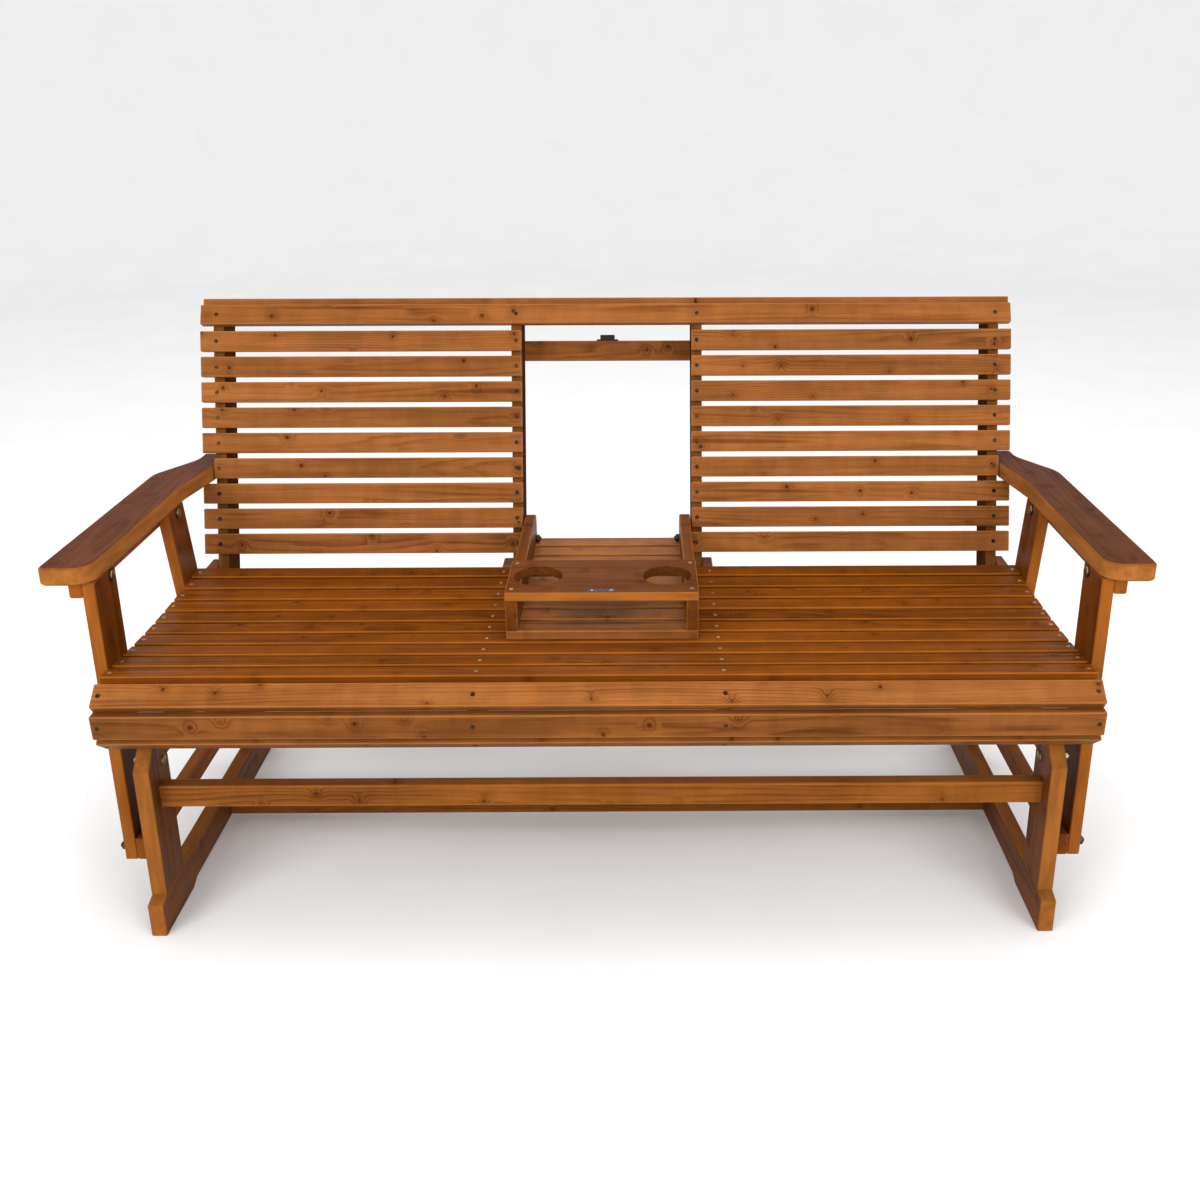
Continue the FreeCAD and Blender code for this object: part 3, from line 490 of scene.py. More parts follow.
def turned_part(place, axis, outline):
    """A turned piece: an outline of distance, radius and six-sidedness, carried round an axis.

    At an angle a from a corner, a six-sided ring of corner radius R has the radius
    R * cos 30 / cos(30 - a).
    """
    distance, radius, six_sided = np.array(outline).T
    angle = np.arange(BOLT_SIDES) * 2 * math.pi / BOLT_SIDES
    sixth = math.pi / 6
    drawn_in = math.cos(sixth) / np.cos(np.mod(angle, 2 * sixth) - sixth)
    reach = radius[:, None] * (1 + six_sided[:, None] * (drawn_in - 1))
    side = np.cross(axis, UP)
    way = np.cos(angle)[:, None] * side + np.sin(angle)[:, None] * np.cross(axis, side)
    points = place + distance[:, None, None] * axis + reach[..., None] * way
    return points.reshape(-1, 3), closed_faces(len(distance), BOLT_SIDES), None


def dome(radius, bearing=0.0):
    """Outline of a domed head from its crown to the face that it bears on."""
    turn = np.linspace(0, math.pi / 2, ARC_STEPS + 2)[1:]
    rim = HEAD_THICK * DOME_RIM
    rows = [(bearing - HEAD_THICK, CAP_RADIUS, 0.0)]
    rows += [(bearing - rim - (HEAD_THICK - rim) * math.cos(a), radius * math.sin(a), 0.0) for a in turn]
    return rows + [(bearing, radius, 0.0)]


def nut(start, length, radius):
    """Outline of a six-sided nut, whose corners are eased by a third of its length at most."""
    ease = min(NUT_CHAMFER, length / 3)
    return [(start, radius * NUT_FACE, 0.0), (start + ease, radius, 1.0),
            (start + length - ease, radius, 1.0), (start + length, radius * NUT_FACE, 0.0)]


def bolt_outline(head_radius, grip, spacer=None):
    """A whole bolt: its domed head, its shank, the nut between two pieces, the nut at its end."""
    rows = dome(head_radius) + [(0.0, SHANK_RADIUS, 0.0)]
    if spacer:
        start, length = spacer
        rows += [(start, SHANK_RADIUS, 0.0), *nut(start, length, head_radius - NUT_INSET),
                 (start + length, SHANK_RADIUS, 0.0)]
    rows += [(grip, SHANK_RADIUS, 0.0), *nut(grip, NUT_THICK, head_radius - NUT_INSET)]
    end = grip + NUT_THICK
    return rows + [(end, SHANK_RADIUS, 0.0), (end + THREAD_END * THREAD_SHARE, SHANK_RADIUS, 0.0),
                   (end + THREAD_END, SHANK_RADIUS * THREAD_TIP, 0.0),
                   (end + THREAD_END, CAP_RADIUS, 0.0)]


def arm_bolt_outline(grip):
    """A bolt through an arm post: its domed head on the washer, its shank and its nut."""
    return [*dome(ARM_BOLT_RADIUS, -WASHER_THICK), (-WASHER_THICK, SHANK_RADIUS, 0.0),
            (grip, SHANK_RADIUS, 0.0), *nut(grip, NUT_THICK, ARM_BOLT_RADIUS - NUT_INSET),
            (grip + NUT_THICK, CAP_RADIUS, 0.0)]


WASHER_OUTLINE = [(-WASHER_THICK, CAP_RADIUS, 0.0), (-WASHER_THICK, WASHER_RADIUS, 0.0),
                  (0.0, WASHER_RADIUS, 0.0), (0.0, CAP_RADIUS, 0.0)]


def redraw_bolts(name, rows, outwards, spacer=None, finish=None):
    """A node of bolts along X, in as many rows from front to back on each side of the bench.

    Bolts that point outwards have their heads on the inside.
    """
    points = node_points(name)
    parts = []
    for side in (-1, 1):
        own = points[points[:, 0] * side > 0]
        number = row_numbers(own[:, 1], rows)
        for row in range(rows):
            low, high = own[number == row].min(axis=0), own[number == row].max(axis=0)
            middle = (low + high) / 2
            way = side if outwards else -side
            start = low[0] if way > 0 else high[0]
            grip = high[0] - low[0] - HEAD_THICK - NUT_THICK
            place = np.array([start + way * HEAD_THICK, middle[1], middle[2]])
            outline = bolt_outline((high[2] - low[2]) / 2, grip, spacer)
            parts.append(turned_part(place, ACROSS * way, outline))
    replace_node(name, new_piece(name + "_turned", joined(parts), TURNED_CRISP), finish)


# Finishes

# How often each pattern of the wood changes in a metre: along the grain, across it and through
TRUNK_WANDER = (1.9, 9, 9)
RING_WAVES = (3.0, 60, 60)
RING_FADING = (2.2, 14, 14)
STREAKS = (1.6, 75, 75)
FIBRES = (14, 620, 620)
STAIN_PATCHES = (4.0, 16, 16)
STAIN_BLOTCHES = (34, 13, 13)
RESIN = (1.3, 48, 48)
RUBBING_AND_HIGHLIGHT = (9, 60, 60)
KNOT_RAGS = (160, 160, 160)

NOISE_ROUGHNESS = 0.55
NOISE_BAND = (0.3, 0.7)   # soft noise lies mostly between these

WANDER_REACH = (0, 0.026, 0.026)       # metres by which the trunk wanders
RING_WIDTH = 0.0034       # one year's ring
RING_UNEVEN = 1.6         # rings by which the years are uneven
RING_DARKNESS = ((0.0, 0.0), (0.45, 0.12), (0.86, 1.0), (1.0, 0.0))    # by its share of the year
RING_FADE = (0.38, 0.62, 0.35, 1.0)    # noise from and to, and how much of the rings shows at each
KNOT_SCALE = 14.0         # there are this many places for a knot in a metre
KNOT_SHARE = 0.38         # this share of the places stays empty
KNOT_RADIUS = (0.0012, 0.0042)
KNOT_EDGE = (0.7, 1.25)   # a knot fades between these shares of its radius
KNOT_HEART = (0.1, 0.65)  # and its dark heart between these
KNOT_RAG_REACH = (0.0022, 0.0022, 0)   # metres by which a knot's edge is ragged
KNOT_HALO = 0.010         # the rings bend round a knot this far out
KNOT_PUSH = 0.007         # and by this much

# How much of each pattern shows
RING_STRENGTH = 0.22
STREAK_STRENGTH = 0.42
FIBRE_STRENGTH = 0.34
HALO_STRENGTH = 0.16
RESIN_STRENGTH = 0.6
KNOT_STRENGTH = 0.8
HEART_STRENGTH = 0.9
TONE_STRENGTH = 0.15
FIGURE_SPAN = (0.22, 0.82)             # figure of the lightest and of the darkest wood
PATCH_LEVELS = (0.84, 1.14)            # darkest and lightest patches of the stain
BLOTCH_LEVELS = (0.92, 1.08)
RESIN_BAND = (0.66, 0.75)
# The rubbed shade is partly worn-through stain and partly a painted highlight
RUBBED_HIGHLIGHT_LEVELS = (0.36, 0.6)            # how much of the rubbed shade shows on worn places

WOOD_SHEEN = 0.06
SHEEN_TINT = (0.9, 0.52, 0.22, 1.0)    # the stain's oil gives a warm sheen
WOOD_GLOSS = (0.2, 0.9, 0.38, 0.56)    # figure from and to, and the roughness at each
FIBRE_RELIEF = 0.6
RING_RELIEF = 0.5
WOOD_RELIEF = (0.3, 0.0004)            # strength, and depth in metres
RESIN_SHADE = (70, 32, 12)
KNOT_SHADE = (82, 38, 14)
HEART_SHADE = (36, 16, 7)

# Patterns, gloss and relief of steel and moulded plastic, and the floor's pattern
STEEL_PATCHES = (140, 140, 140)
STEEL_BAND = (0.35, 0.7)               # noise between which the clean shade turns into the stained one
STEEL_GLOSS = (-0.05, 0.07)            # added to the roughness in clean and in stained places
SCRATCHES = (300, 2400, 2400)
STEEL_RELIEF = (0.12, 0.0002)
PLASTIC_PATCHES = (220, 220, 220)
PLASTIC_BAND = (0.4, 0.75)
PLASTIC_GLOSS = (0.36, 0.55)
PLASTIC_SHEEN = 0.3
PITS = (2600, 2600, 2600)
PLASTIC_RELIEF = (0.2, 0.0001)
FLOOR_PATCHES = (3, 3, 3)


def colour(red, green, blue):
    """A colour written as on a screen, 0 to 255, in linear light."""
    screen = np.array([red, green, blue]) / 255
    linear = np.where(screen <= 0.04045, screen / 12.92, ((screen + 0.055) / 1.055) ** 2.4)
    return (*linear.tolist(), 1.0)


def node(tree, kind, inputs=None, **settings):
    """A new node with its settings; inputs gives a socket a value or another node's output."""
    made = tree.nodes.new("ShaderNode" + kind)
    for name, value in settings.items():
        setattr(made, name, value)
    for socket, value in (inputs or {}).items():
        if isinstance(value, bpy.types.NodeSocket):
            tree.links.new(value, made.inputs[socket])
        else:
            made.inputs[socket].default_value = value
    return made


def calc(tree, operation, *values):
    return node(tree, "Math", dict(enumerate(values)), operation=operation).outputs[0]


def stretched(tree, vector, scale):
    """The vector times a scale for each axis."""
    return node(tree, "VectorMath", {0: vector, 1: scale}, operation="MULTIPLY").outputs[0]


def cloud(tree, vector, scale, detail, output="Fac"):
    """Soft noise, stretched by a scale for each axis."""
    made = node(tree, "TexNoise", {"Vector": stretched(tree, vector, scale), "Scale": 1.0,
                                   "Detail": detail, "Roughness": NOISE_ROUGHNESS})
    return made.outputs[output]


def shaken(tree, vector, scale, reach):
    """The vector moved aside by soft noise of a scale, by up to reach along each axis."""
    made = node(tree, "VectorMath", {0: cloud(tree, vector, scale, 1, "Color"), 1: reach, 2: vector},
                operation="MULTIPLY_ADD")
    return made.outputs[0]


def fade(tree, value, start, end, low=0.0, high=1.0):
    """A soft step from low to high while the value goes from start to end."""
    made = node(tree, "MapRange", {"Value": value, "From Min": start, "From Max": end,
                                   "To Min": low, "To Max": high}, interpolation_type="SMOOTHSTEP")
    return made.outputs["Result"]


def ramp(tree, value, stops):
    """Shades by value; each stop is a position and its shade."""
    made = node(tree, "ValToRGB", {"Fac": value})
    elements = made.color_ramp.elements
    while len(elements) < len(stops):
        elements.new(0.5)
    for element, (position, shade) in zip(elements, stops):
        element.position = position
        element.color = shade
    return made.outputs["Color"]


def between(tree, value, first, second):
    """A shade between two, which are written as on a screen."""
    return ramp(tree, value, [(0.0, colour(*first)), (1.0, colour(*second))])


def mixed(tree, factor, first, second):
    return node(tree, "Mix", {0: factor, 6: first, 7: second}, data_type="RGBA").outputs[2]


def new_finish(name, **constants):
    """A material with its Principled shader, whose constants are set on its own sockets."""
    material = bpy.data.materials.new(name)
    material.use_nodes = True
    tree = material.node_tree
    shader = tree.nodes["Principled BSDF"]
    for socket, value in constants.items():
        shader.inputs[socket.replace("_", " ")].default_value = value
    return material, tree, shader


def dress(tree, shader, shade, roughness, height, strength, depth):
    """Gives the shader its shade, its roughness and a relief as strong and as deep as said."""
    bump = node(tree, "Bump", {"Height": height, "Strength": strength, "Distance": depth})
    tree.links.new(shade, shader.inputs["Base Color"])
    tree.links.new(roughness, shader.inputs["Roughness"])
    tree.links.new(bump.outputs["Normal"], shader.inputs["Normal"])


def knots(tree, grain):
    """How much each place lies in a knot, in a knot's heart and in the halo round a knot.

    Places strewn along and across the board are the middles of knots, which go through it. Each
    that is kept has its own radius, and the halo is exp(-(distance / reach) ^ 2).
    """
    spots = node(tree, "TexVoronoi", {"Vector": shaken(tree, grain, KNOT_RAGS, KNOT_RAG_REACH),
                                      "Scale": KNOT_SCALE}, voronoi_dimensions="2D", feature="F1")
    pick = node(tree, "SeparateColor", {0: spots.outputs["Color"]}).outputs
    kept = calc(tree, "GREATER_THAN", pick[0], KNOT_SHARE)
    away = calc(tree, "DIVIDE", spots.outputs["Distance"], KNOT_SCALE)
    share = calc(tree, "DIVIDE", away, fade(tree, pick[1], 0.0, 1.0, *KNOT_RADIUS))
    knot = calc(tree, "MULTIPLY", kept, fade(tree, share, *KNOT_EDGE, 1.0, 0.0))
    heart = calc(tree, "MULTIPLY", kept, fade(tree, share, *KNOT_HEART, 1.0, 0.0))
    squared = calc(tree, "POWER", calc(tree, "DIVIDE", away, KNOT_HALO), 2.0)
    halo = calc(tree, "EXPONENT", calc(tree, "MULTIPLY", squared, -1.0))
    return knot, heart, calc(tree, "MULTIPLY", halo, kept)


def late_wood(tree, grain, halo):
    """The dark late wood of each year, from 0 to 1.

    The distance from the log's heart, bent by the trunk's wander and round each knot, is counted
    in rings, and each ring darkens slowly and ends sharply. In places the rings fade.
    """
    wander = shaken(tree, grain, TRUNK_WANDER, WANDER_REACH)
    from_heart = node(tree, "VectorMath", {0: stretched(tree, wander, (0, 1, 1))},
                      operation="LENGTH").outputs["Value"]
    bent = calc(tree, "MULTIPLY_ADD", halo, KNOT_PUSH, from_heart)
    years = calc(tree, "DIVIDE", bent, RING_WIDTH)
    years = calc(tree, "MULTIPLY_ADD", cloud(tree, grain, RING_WAVES, 1), RING_UNEVEN, years)
    late = ramp(tree, calc(tree, "FRACT", years),
                [(share, (dark, dark, dark, 1)) for share, dark in RING_DARKNESS])
    return calc(tree, "MULTIPLY", late, fade(tree, cloud(tree, grain, RING_FADING, 1), *RING_FADE))


def wood(name, light, dark, rubbed_and_lit, sheen=WOOD_SHEEN):
    """Stained softwood: rings round the log's heart, fibres, streaks, knots, and worn edges with a
    painted highlight.

    Rings, streaks, fibres and the halos of knots add up to the figure, which goes from the light
    shade to the dark one. The stain is uneven in patches and blotches, and each board has its own
    tone, which on the front slats is painted light and shade. Resin, knots and, where a piece is
    worn, a lighter shade lie over it, partly worn-through stain and partly a painted highlight on
    edges and narrow faces. sheen is how much the wood reflects.
    """
    material, tree, shader = new_finish(name, Specular_IOR_Level=sheen, Specular_Tint=SHEEN_TINT)
    grain = node(tree, "Attribute", attribute_name="grain").outputs["Vector"]
    tone = node(tree, "Attribute", attribute_name="tone").outputs["Fac"]
    wear_and_highlight = node(tree, "Attribute", attribute_name="wear_and_highlight").outputs["Fac"]

    knot, heart, halo = knots(tree, grain)
    late = late_wood(tree, grain, halo)
    streak = cloud(tree, grain, STREAKS, 3)
    fibre = cloud(tree, grain, FIBRES, 2)
    figure = calc(tree, "MULTIPLY", late, RING_STRENGTH)
    for pattern, strength in ((streak, STREAK_STRENGTH), (fibre, FIBRE_STRENGTH),
                              (halo, HALO_STRENGTH)):
        figure = calc(tree, "MULTIPLY_ADD", pattern, strength, figure)
    shade = between(tree, fade(tree, figure, *FIGURE_SPAN), light, dark)

    patch = fade(tree, cloud(tree, grain, STAIN_PATCHES, 3), *NOISE_BAND, *PATCH_LEVELS)
    blotch = fade(tree, cloud(tree, grain, STAIN_BLOTCHES, 2), *NOISE_BAND, *BLOTCH_LEVELS)
    level = calc(tree, "MULTIPLY", calc(tree, "MULTIPLY_ADD", tone, TONE_STRENGTH, patch), blotch)
    shade = node(tree, "VectorMath", {0: shade, "Scale": level}, operation="SCALE").outputs[0]

    resin = fade(tree, cloud(tree, grain, RESIN, 1), *RESIN_BAND, 0.0, RESIN_STRENGTH)
    rubbing_and_highlight = fade(tree, cloud(tree, grain, RUBBING_AND_HIGHLIGHT, 2), *NOISE_BAND, *RUBBED_HIGHLIGHT_LEVELS)
    # The lighter shade over worn places is partly worn-through stain and partly a painted highlight on
    # edges and narrow faces
    for factor, over in ((resin, RESIN_SHADE),
                         (calc(tree, "MULTIPLY", knot, KNOT_STRENGTH), KNOT_SHADE),
                         (calc(tree, "MULTIPLY", heart, HEART_STRENGTH), HEART_SHADE),
                         (calc(tree, "MULTIPLY", wear_and_highlight, rubbing_and_highlight), rubbed_and_lit)):
        shade = mixed(tree, factor, shade, colour(*over))

    relief = calc(tree, "MULTIPLY_ADD", fibre, FIBRE_RELIEF, calc(tree, "MULTIPLY", late, RING_RELIEF))
    dress(tree, shader, shade, fade(tree, figure, *WOOD_GLOSS), relief, *WOOD_RELIEF)
    return material


def steel(name, clean, stained, roughness):
    """Plated steel: its colour and gloss vary in soft patches, with fine scratches in relief."""
    material, tree, shader = new_finish(name, Metallic=1.0)
    place = node(tree, "TexCoord").outputs["Object"]
    patch = cloud(tree, place, STEEL_PATCHES, 3)
    shade = between(tree, fade(tree, patch, *STEEL_BAND), clean, stained)
    gloss = fade(tree, patch, *NOISE_BAND, *[roughness + change for change in STEEL_GLOSS])
    dress(tree, shader, shade, gloss, cloud(tree, place, SCRATCHES, 2), *STEEL_RELIEF)
    return material


def moulded(name, shade, worn):
    """Moulded plastic with a fine grain."""
    material, tree, shader = new_finish(name, Specular_IOR_Level=PLASTIC_SHEEN)
    place = node(tree, "TexCoord").outputs["Object"]
    patch = fade(tree, cloud(tree, place, PLASTIC_PATCHES, 3), *PLASTIC_BAND)
    gloss = fade(tree, patch, 0.0, 1.0, *PLASTIC_GLOSS)
    pits = cloud(tree, place, PITS, 1)
    dress(tree, shader, between(tree, patch, shade, worn), gloss, pits, *PLASTIC_RELIEF)
    return material


# The light shade, the dark one and the rubbed one, which is partly a painted highlight, as on a screen,
# and for some the sheen
WOODS = {
    "base_wood": ((124, 73, 28), (75, 38, 10), (164, 100, 42)),
    # Painted shade: the woods of the legs, arm posts and back posts are darker copies for their shaded
    # sides; their narrow faces are painted lighter as painted light
    "shaded_leg_wood": ((98, 55, 20), (60, 30, 8), (148, 90, 38)),
    "frame_wood": ((130, 70, 22), (80, 37, 8), (158, 90, 32)),
    "arm_post_wood": ((106, 55, 15), (66, 30, 6), (154, 88, 31)),
    "shaded_post_wood": ((78, 44, 22), (46, 26, 13), (140, 90, 44), 0.0),
    "seat_wood": ((116, 61, 13), (73, 34, 5), (172, 100, 32)),
    # Painted light: a lighter copy of the seat wood for the front slats, which face the lamps
    "lit_front_wood": ((134, 81, 38), (84, 43, 15), (172, 108, 52)),
    "back_wood": ((141, 86, 43), (92, 48, 19), (168, 108, 54)),
    "head_wood": ((138, 84, 42), (94, 50, 20), (164, 104, 54)),
    "armrest_wood": ((86, 43, 16), (64, 30, 10), (158, 98, 44), 0.03),
    "console_wood": ((104, 57, 22), (66, 33, 10), (172, 104, 42), 0.03),
}

# The clean shade, the stained one and the roughness
STEELS = {
    "arm_steel": ((118, 120, 122), (104, 105, 106), 0.46),
    "bolt_steel": ((142, 126, 92), (88, 74, 48), 0.38),
    "dark_steel": ((80, 64, 42), (38, 30, 20), 0.44),
    "bright_steel": ((226, 226, 222), (170, 168, 160), 0.28),
    "seat_screw_steel": ((190, 160, 118), (132, 104, 70), 0.4),
    "strike_steel": ((96, 98, 104), (66, 66, 68), 0.38),
}

finishes = {name: wood(name, *look) for name, look in WOODS.items()}
finishes.update({name: steel(name, *look) for name, look in STEELS.items()})
finishes["catch_plastic"] = moulded("catch_plastic", (14, 14, 15), (30, 30, 30))


# The pieces

supports = [middle_x("seat_support_" + name)
            for name in ("outer_left", "inner_left", "inner_right", "outer_right")]
posts = {side: [middle_x("back_post_%s_%s" % (name, side)) for name in ("inner", "outer")]
         for side in SIDES}
console_rails = [middle_x("console_rail_" + side) for side in SIDES]


def build_seat():
    spots = []
    for number in range(1, SEAT_SLATS + 1):
        spots += screw_spots(redraw_slats("seat_slat_%02d" % number), supports)
    front_spots = []
    for name in ("front_slat_upper", "front_slat_middle", "front_slat_lower"):
        [(middle, directions, half)] = bars_along_x(name)
        fitted = [(middle, directions, half + (0, FRONT_FIT, 0))]
        # The front slats take a lighter copy of the seat wood, as painted light
        front_spots += screw_spots(redraw_bars(name, fitted, FRONT_EDGES, "lit_front_wood"), supports)
    add_screws("seat_screws", "seat", spots, "seat_screw_steel")
    add_screws("front_screws", "seat", front_spots, "dark_steel")
    for side in SIDES:
        for name in ("inner", "outer"):
            redraw_sawn("seat_support_%s_%s" % (name, side), BACK, ACROSS)


def build_back():
    spots = []
    for side in SIDES:
        bars = redraw_slats("back_slats_" + side, ROW_SLATS)
        spots += screw_spots(bars, posts[side])
    up_back = bars[0][1][1]
    for name in ("back_top_rail", "back_cap"):
        spots += screw_spots(redraw_slats(name), posts["left"] + posts["right"])
    spots += screw_spots(redraw_slats("catch_rail"), [posts["left"][0], posts["right"][0]], -1)
    add_screws("back_screws", "seat", spots, "dark_steel")
    for side in SIDES:
        for name in ("inner", "outer"):
            # The back posts are painted dark as shade on their sides, with painted light on their narrow
            # faces
            redraw_sawn("back_post_%s_%s" % (name, side), up_back, ACROSS, rim=BACK_POST_RIM_HIGHLIGHT,
                        finish="shaded_post_wood")


def build_console():
    bars = redraw_slats("console_slats", ROW_SLATS)
    add_screws("console_slat_screws", "console", screw_spots(bars, console_rails, -1), "dark_steel",
               rise=FLUSH_RISE)
    directions = bars[0][1]
    for side in SIDES:
        redraw_sawn("console_rail_" + side, directions[1], ACROSS)
    # The cup plank's rim is painted lighter as a painted highlight
    redraw_sawn("cup_plank", ACROSS, directions[2], ARMREST_BEVEL, rim=CUP_PLANK_RIM_HIGHLIGHT, bored=True)
    low, high = box_along("cup_plank", directions)
    screws = spots_along(directions, [(x, low[1] + (high[1] - low[1]) * share, high[2])
                                      for x in console_rails for share in PLANK_SCREWS])
    add_screws("cup_plank_screws", "console", screws, "seat_screw_steel")


def build_strike_plate():
    directions = bars_along_x("console_slats", ROW_SLATS)[0][1]
    redraw_sawn("strike_plate", ACROSS, directions[2], METAL_BEVEL)
    low, high = box_along("strike_plate", directions)
    reach = high[0] * PLATE_SPREAD
    screws = spots_along(directions, [(x, (low[1] + high[1]) / 2, high[2]) for x in (-reach, reach)])
    add_screws("strike_plate_screws", "console", screws, "bright_steel", PLATE_SCREW, FLUSH_RISE)


def build_catch():
    """The catch, with a screw in its flange on either side of its body."""
    up_back = bars_along_x("back_slats_left", ROW_SLATS)[0][1][1]
    redraw_sawn("magnetic_catch", ACROSS, up_back, METAL_BEVEL)
    directions = np.array([ACROSS, np.cross(up_back, ACROSS), up_back])
    low, high = box_along("magnetic_catch", directions)
    screws = spots_along(directions, [(x, (low[1] + high[1]) / 2, low[2] + FLANGE_THICK)
                                      for x in (low[0] + FLANGE_INSET, high[0] - FLANGE_INSET)])
    add_screws("catch_screws", "seat", screws, "bright_steel", PLATE_SCREW)


def build_end_frames():
    for side in SIDES:
        redraw_sawn("hanger_rail_" + side, BACK, ACROSS)
        # The arm posts are painted dark as shade on their sides, with painted light on their narrow
        # faces; the armrests' rims are painted lighter as a painted highlight
        redraw_sawn("arm_post_front_" + side, UP, ACROSS, rim=ARM_POST_RIM_HIGHLIGHT, finish="arm_post_wood")
        redraw_frame_bar("arm_rail_" + side)
        redraw_sawn("arm_post_rear_" + side, rise_of("arm_post_rear_" + side), ACROSS,
                    rim=ARM_POST_RIM_HIGHLIGHT, finish="arm_post_wood")
        redraw_sawn("armrest_" + side, BACK, UP, ARMREST_BEVEL, rim=ARMREST_RIM_HIGHLIGHT)


def build_arm_bolts():
    """The bolts through the tops of the arm posts: a washer and a domed head on the inner face."""
    bolts = []
    washers = []
    for side in SIDES:
        face = 0 if side == "right" else 1
        inner = box_of("arm_post_front_" + side)[face][0]
        outer = box_of("arm_rail_" + side)[1 - face][0]
        rear_points = node_points("arm_post_rear_" + side)
        top = rear_points[rear_points[:, 2] > rear_points[:, 2].max() - END_REACH]
        front = box_of("arm_post_front_" + side)[0][1]
        z = box_of("armrest_" + side)[0][2] - ARM_BOLT_DROP
        axis = ACROSS * math.copysign(1.0, inner)
        for y in (front + FRONT_BOLT_INSET, top[:, 1].min() + REAR_BOLT_INSET):
            place = np.array([inner, y, z])
            bolts.append(turned_part(place, axis, arm_bolt_outline(abs(outer - inner))))
            washers.append(turned_part(place, axis, WASHER_OUTLINE))
    for name, parts, finish in (("arm_bolts", bolts, "bolt_steel"),
                                ("arm_washers", washers, "dark_steel")):
        fit_piece(new_piece(name, joined(parts), TURNED_CRISP), finish, "seat")


def build_base():
    for side in SIDES:
        # The runners and legs are painted dark as shade on their sides, with painted light on their
        # narrow faces
        for name, along in (("runner", BACK), ("front_leg", UP), ("rear_leg", UP)):
            redraw_sawn("base_%s_%s" % (name, side), along, ACROSS, rim=LEG_RIM_HIGHLIGHT, finish="shaded_leg_wood")
        redraw_frame_bar("base_side_rail_" + side)
    for name in ("front", "rear", "low"):
        redraw_frame_bar("base_%s_stretcher" % name)


def build_glide():
    for end in ("front", "rear"):
        for side in SIDES:
            redraw_sawn("swing_arm_%s_%s" % (end, side), UP, ACROSS, METAL_BEVEL)
    redraw_bolts("base_pivot_bolts", 2, True, BASE_SPACER)
    redraw_bolts("seat_pivot_bolts", 2, True, finish="dark_steel")
    redraw_bolts("console_pivot_bolts", 1, False, CONSOLE_SPACER, "dark_steel")


build_seat()
build_back()
build_console()
build_strike_plate()
build_catch()
build_end_frames()
build_arm_bolts()
build_base()
build_glide()


# The stage, the light and the camera

STAGE_RADIUS = 7.0        # the floor is flat this far out
STAGE_BEND = 3.0          # radius of the bend that turns it up into a wall
STAGE_WALL = 3.0          # height of the wall above the bend
STAGE_HOLE = 0.01         # radius of the innermost ring
STAGE_STEPS = 24          # points of the bend
STAGE_SIDES = 96
FLOOR_GREYS = (0.83, 0.85)

# Place, aim, size in metres and power in watts
LIGHTS = {
    "key_left": ((-2.8, -3.9, 2.4), (0, 0, 0.45), (2.4, 2.0), 115),
    "key_right": ((2.8, -3.9, 2.4), (0, 0, 0.45), (2.4, 2.0), 104),
    "top": ((0.2, 0.2, 4.4), (0, 0, 0.3), (3.6, 3.0), 70),
}

# The camera of the photograph, with angles in degrees and lens and sensor in millimetres
CAMERA_PLACE = (0.0648, -2.0968, 1.2927)
CAMERA_YAW = 0.281        # to the right of straight ahead
CAMERA_PITCH = 20.087     # down
CAMERA_ROLL = -0.139
CAMERA_LENS = 38.274
CAMERA_SENSOR = 36
CAMERA_SHIFT = (-0.0396, -0.0428)


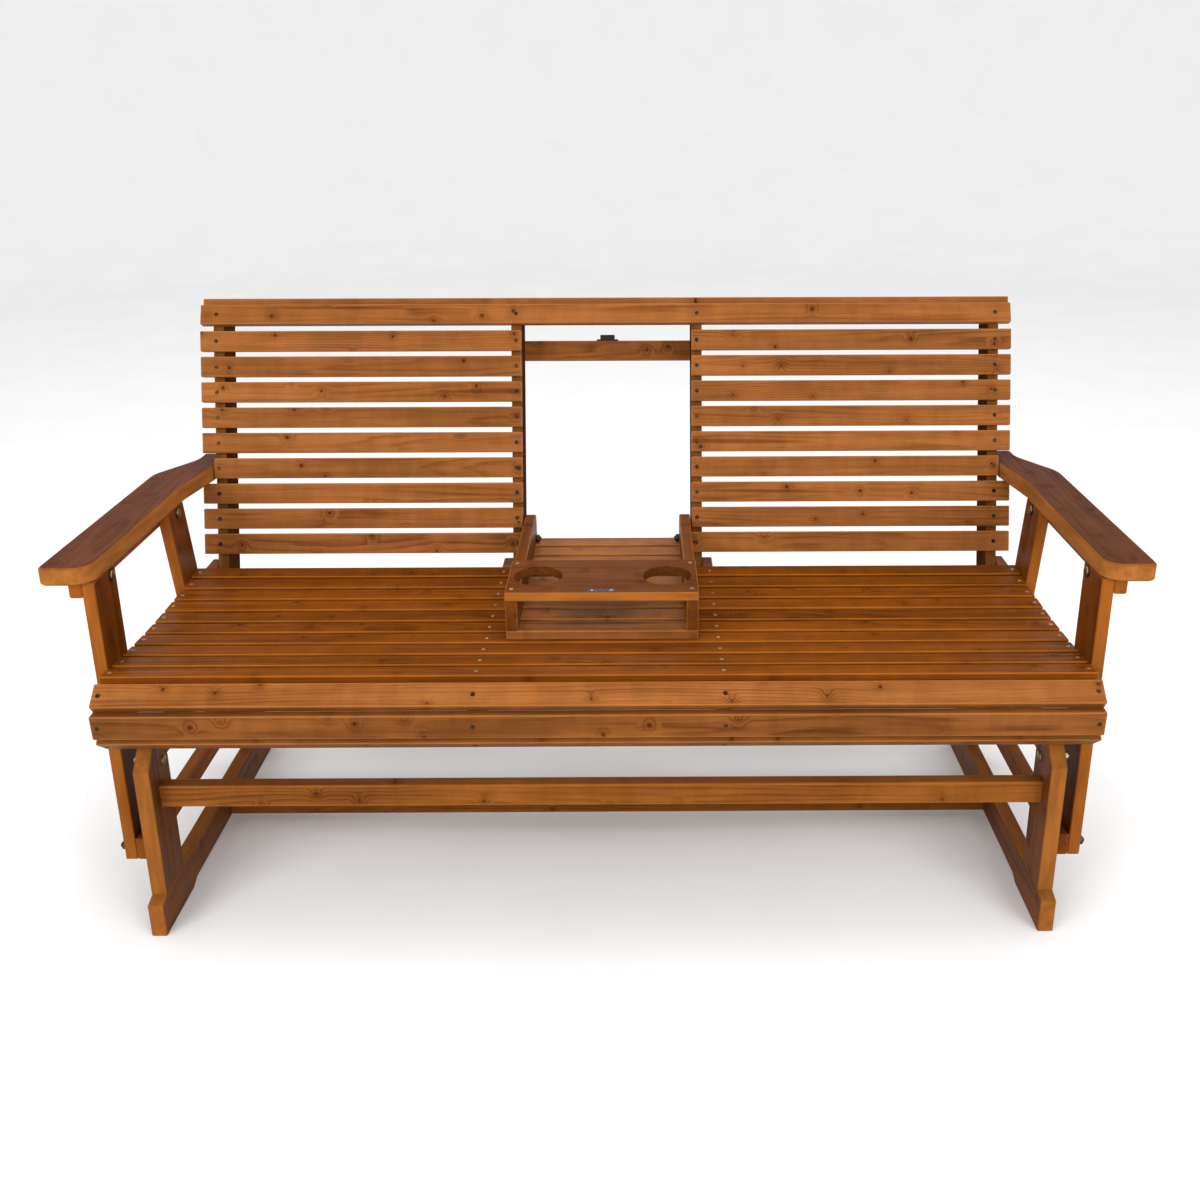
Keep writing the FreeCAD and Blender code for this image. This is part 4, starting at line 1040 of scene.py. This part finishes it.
def build_stage():
    """A pale floor that turns up at its rim: an outline of radius and height carried round Z."""
    turn = np.linspace(0, math.pi / 2, STAGE_STEPS)
    radius = np.concatenate([[STAGE_HOLE], STAGE_RADIUS + STAGE_BEND * np.sin(turn),
                             [STAGE_RADIUS + STAGE_BEND]])
    height = np.concatenate([[0.0], STAGE_BEND * (1 - np.cos(turn)), [STAGE_BEND + STAGE_WALL]])
    angle = np.arange(STAGE_SIDES) * 2 * math.pi / STAGE_SIDES
    points = np.stack([radius[:, None] * np.cos(angle), radius[:, None] * np.sin(angle),
                       np.repeat(height[:, None], STAGE_SIDES, axis=1)], axis=-1).reshape(-1, 3)
    faces = [face[::-1] for face in grid_faces(len(radius), STAGE_SIDES)]
    faces.append(list(range(STAGE_SIDES)))
    floor = new_piece("floor", (points, faces, None))
    material, tree, shader = new_finish("floor_paint", Roughness=0.9, Specular_IOR_Level=0.1)
    place = node(tree, "TexCoord").outputs["Object"]
    patch = fade(tree, cloud(tree, place, FLOOR_PATCHES, 2), *NOISE_BAND)
    paint = ramp(tree, patch, [(share, (grey, grey, grey, 1)) for share, grey in enumerate(FLOOR_GREYS)])
    tree.links.new(paint, shader.inputs["Base Color"])
    floor.data.materials.append(material)
    bpy.context.scene.collection.objects.link(floor)


def add_light(name, place, target, size, power):
    light = bpy.data.lights.new(name, "AREA")
    light.shape = "RECTANGLE"
    light.size, light.size_y = size
    light.energy = power
    lamp = bpy.data.objects.new(name, light)
    lamp.location = place
    lamp.rotation_euler = (Vector(target) - Vector(place)).to_track_quat("-Z", "Y").to_euler()
    bpy.context.scene.collection.objects.link(lamp)


def build_light():
    """Two soft lights from the front corners, one from above and an even white surround."""
    world = bpy.data.worlds.new("studio")
    bpy.context.scene.world = world
    world.use_nodes = True
    sky = world.node_tree.nodes["Background"]
    sky.inputs["Color"].default_value = (1, 1, 1, 1)
    sky.inputs["Strength"].default_value = 1.0
    for name, settings in LIGHTS.items():
        add_light(name, *settings)
    bpy.context.scene.view_settings.view_transform = "Standard"


def build_camera():
    """Turns the camera right, then down, then about its own axis."""
    yaw, pitch, roll = np.radians([CAMERA_YAW, CAMERA_PITCH, CAMERA_ROLL])
    ahead = np.array([math.sin(yaw) * math.cos(pitch), math.cos(yaw) * math.cos(pitch),
                      -math.sin(pitch)])
    right = np.array([math.cos(yaw), -math.sin(yaw), 0.0])
    over = np.cross(right, ahead)
    columns = [math.cos(roll) * right + math.sin(roll) * over,
               math.cos(roll) * over - math.sin(roll) * right, -ahead]
    data = bpy.data.cameras.new("photo_camera")
    data.sensor_width = CAMERA_SENSOR
    data.lens = CAMERA_LENS
    data.shift_x, data.shift_y = CAMERA_SHIFT
    camera = bpy.data.objects.new("photo_camera", data)
    turn = Matrix(np.column_stack(columns).tolist()).to_4x4()
    camera.matrix_world = Matrix.Translation(CAMERA_PLACE) @ turn
    bpy.context.scene.collection.objects.link(camera)
    bpy.context.scene.camera = camera


build_stage()
build_light()
build_camera()
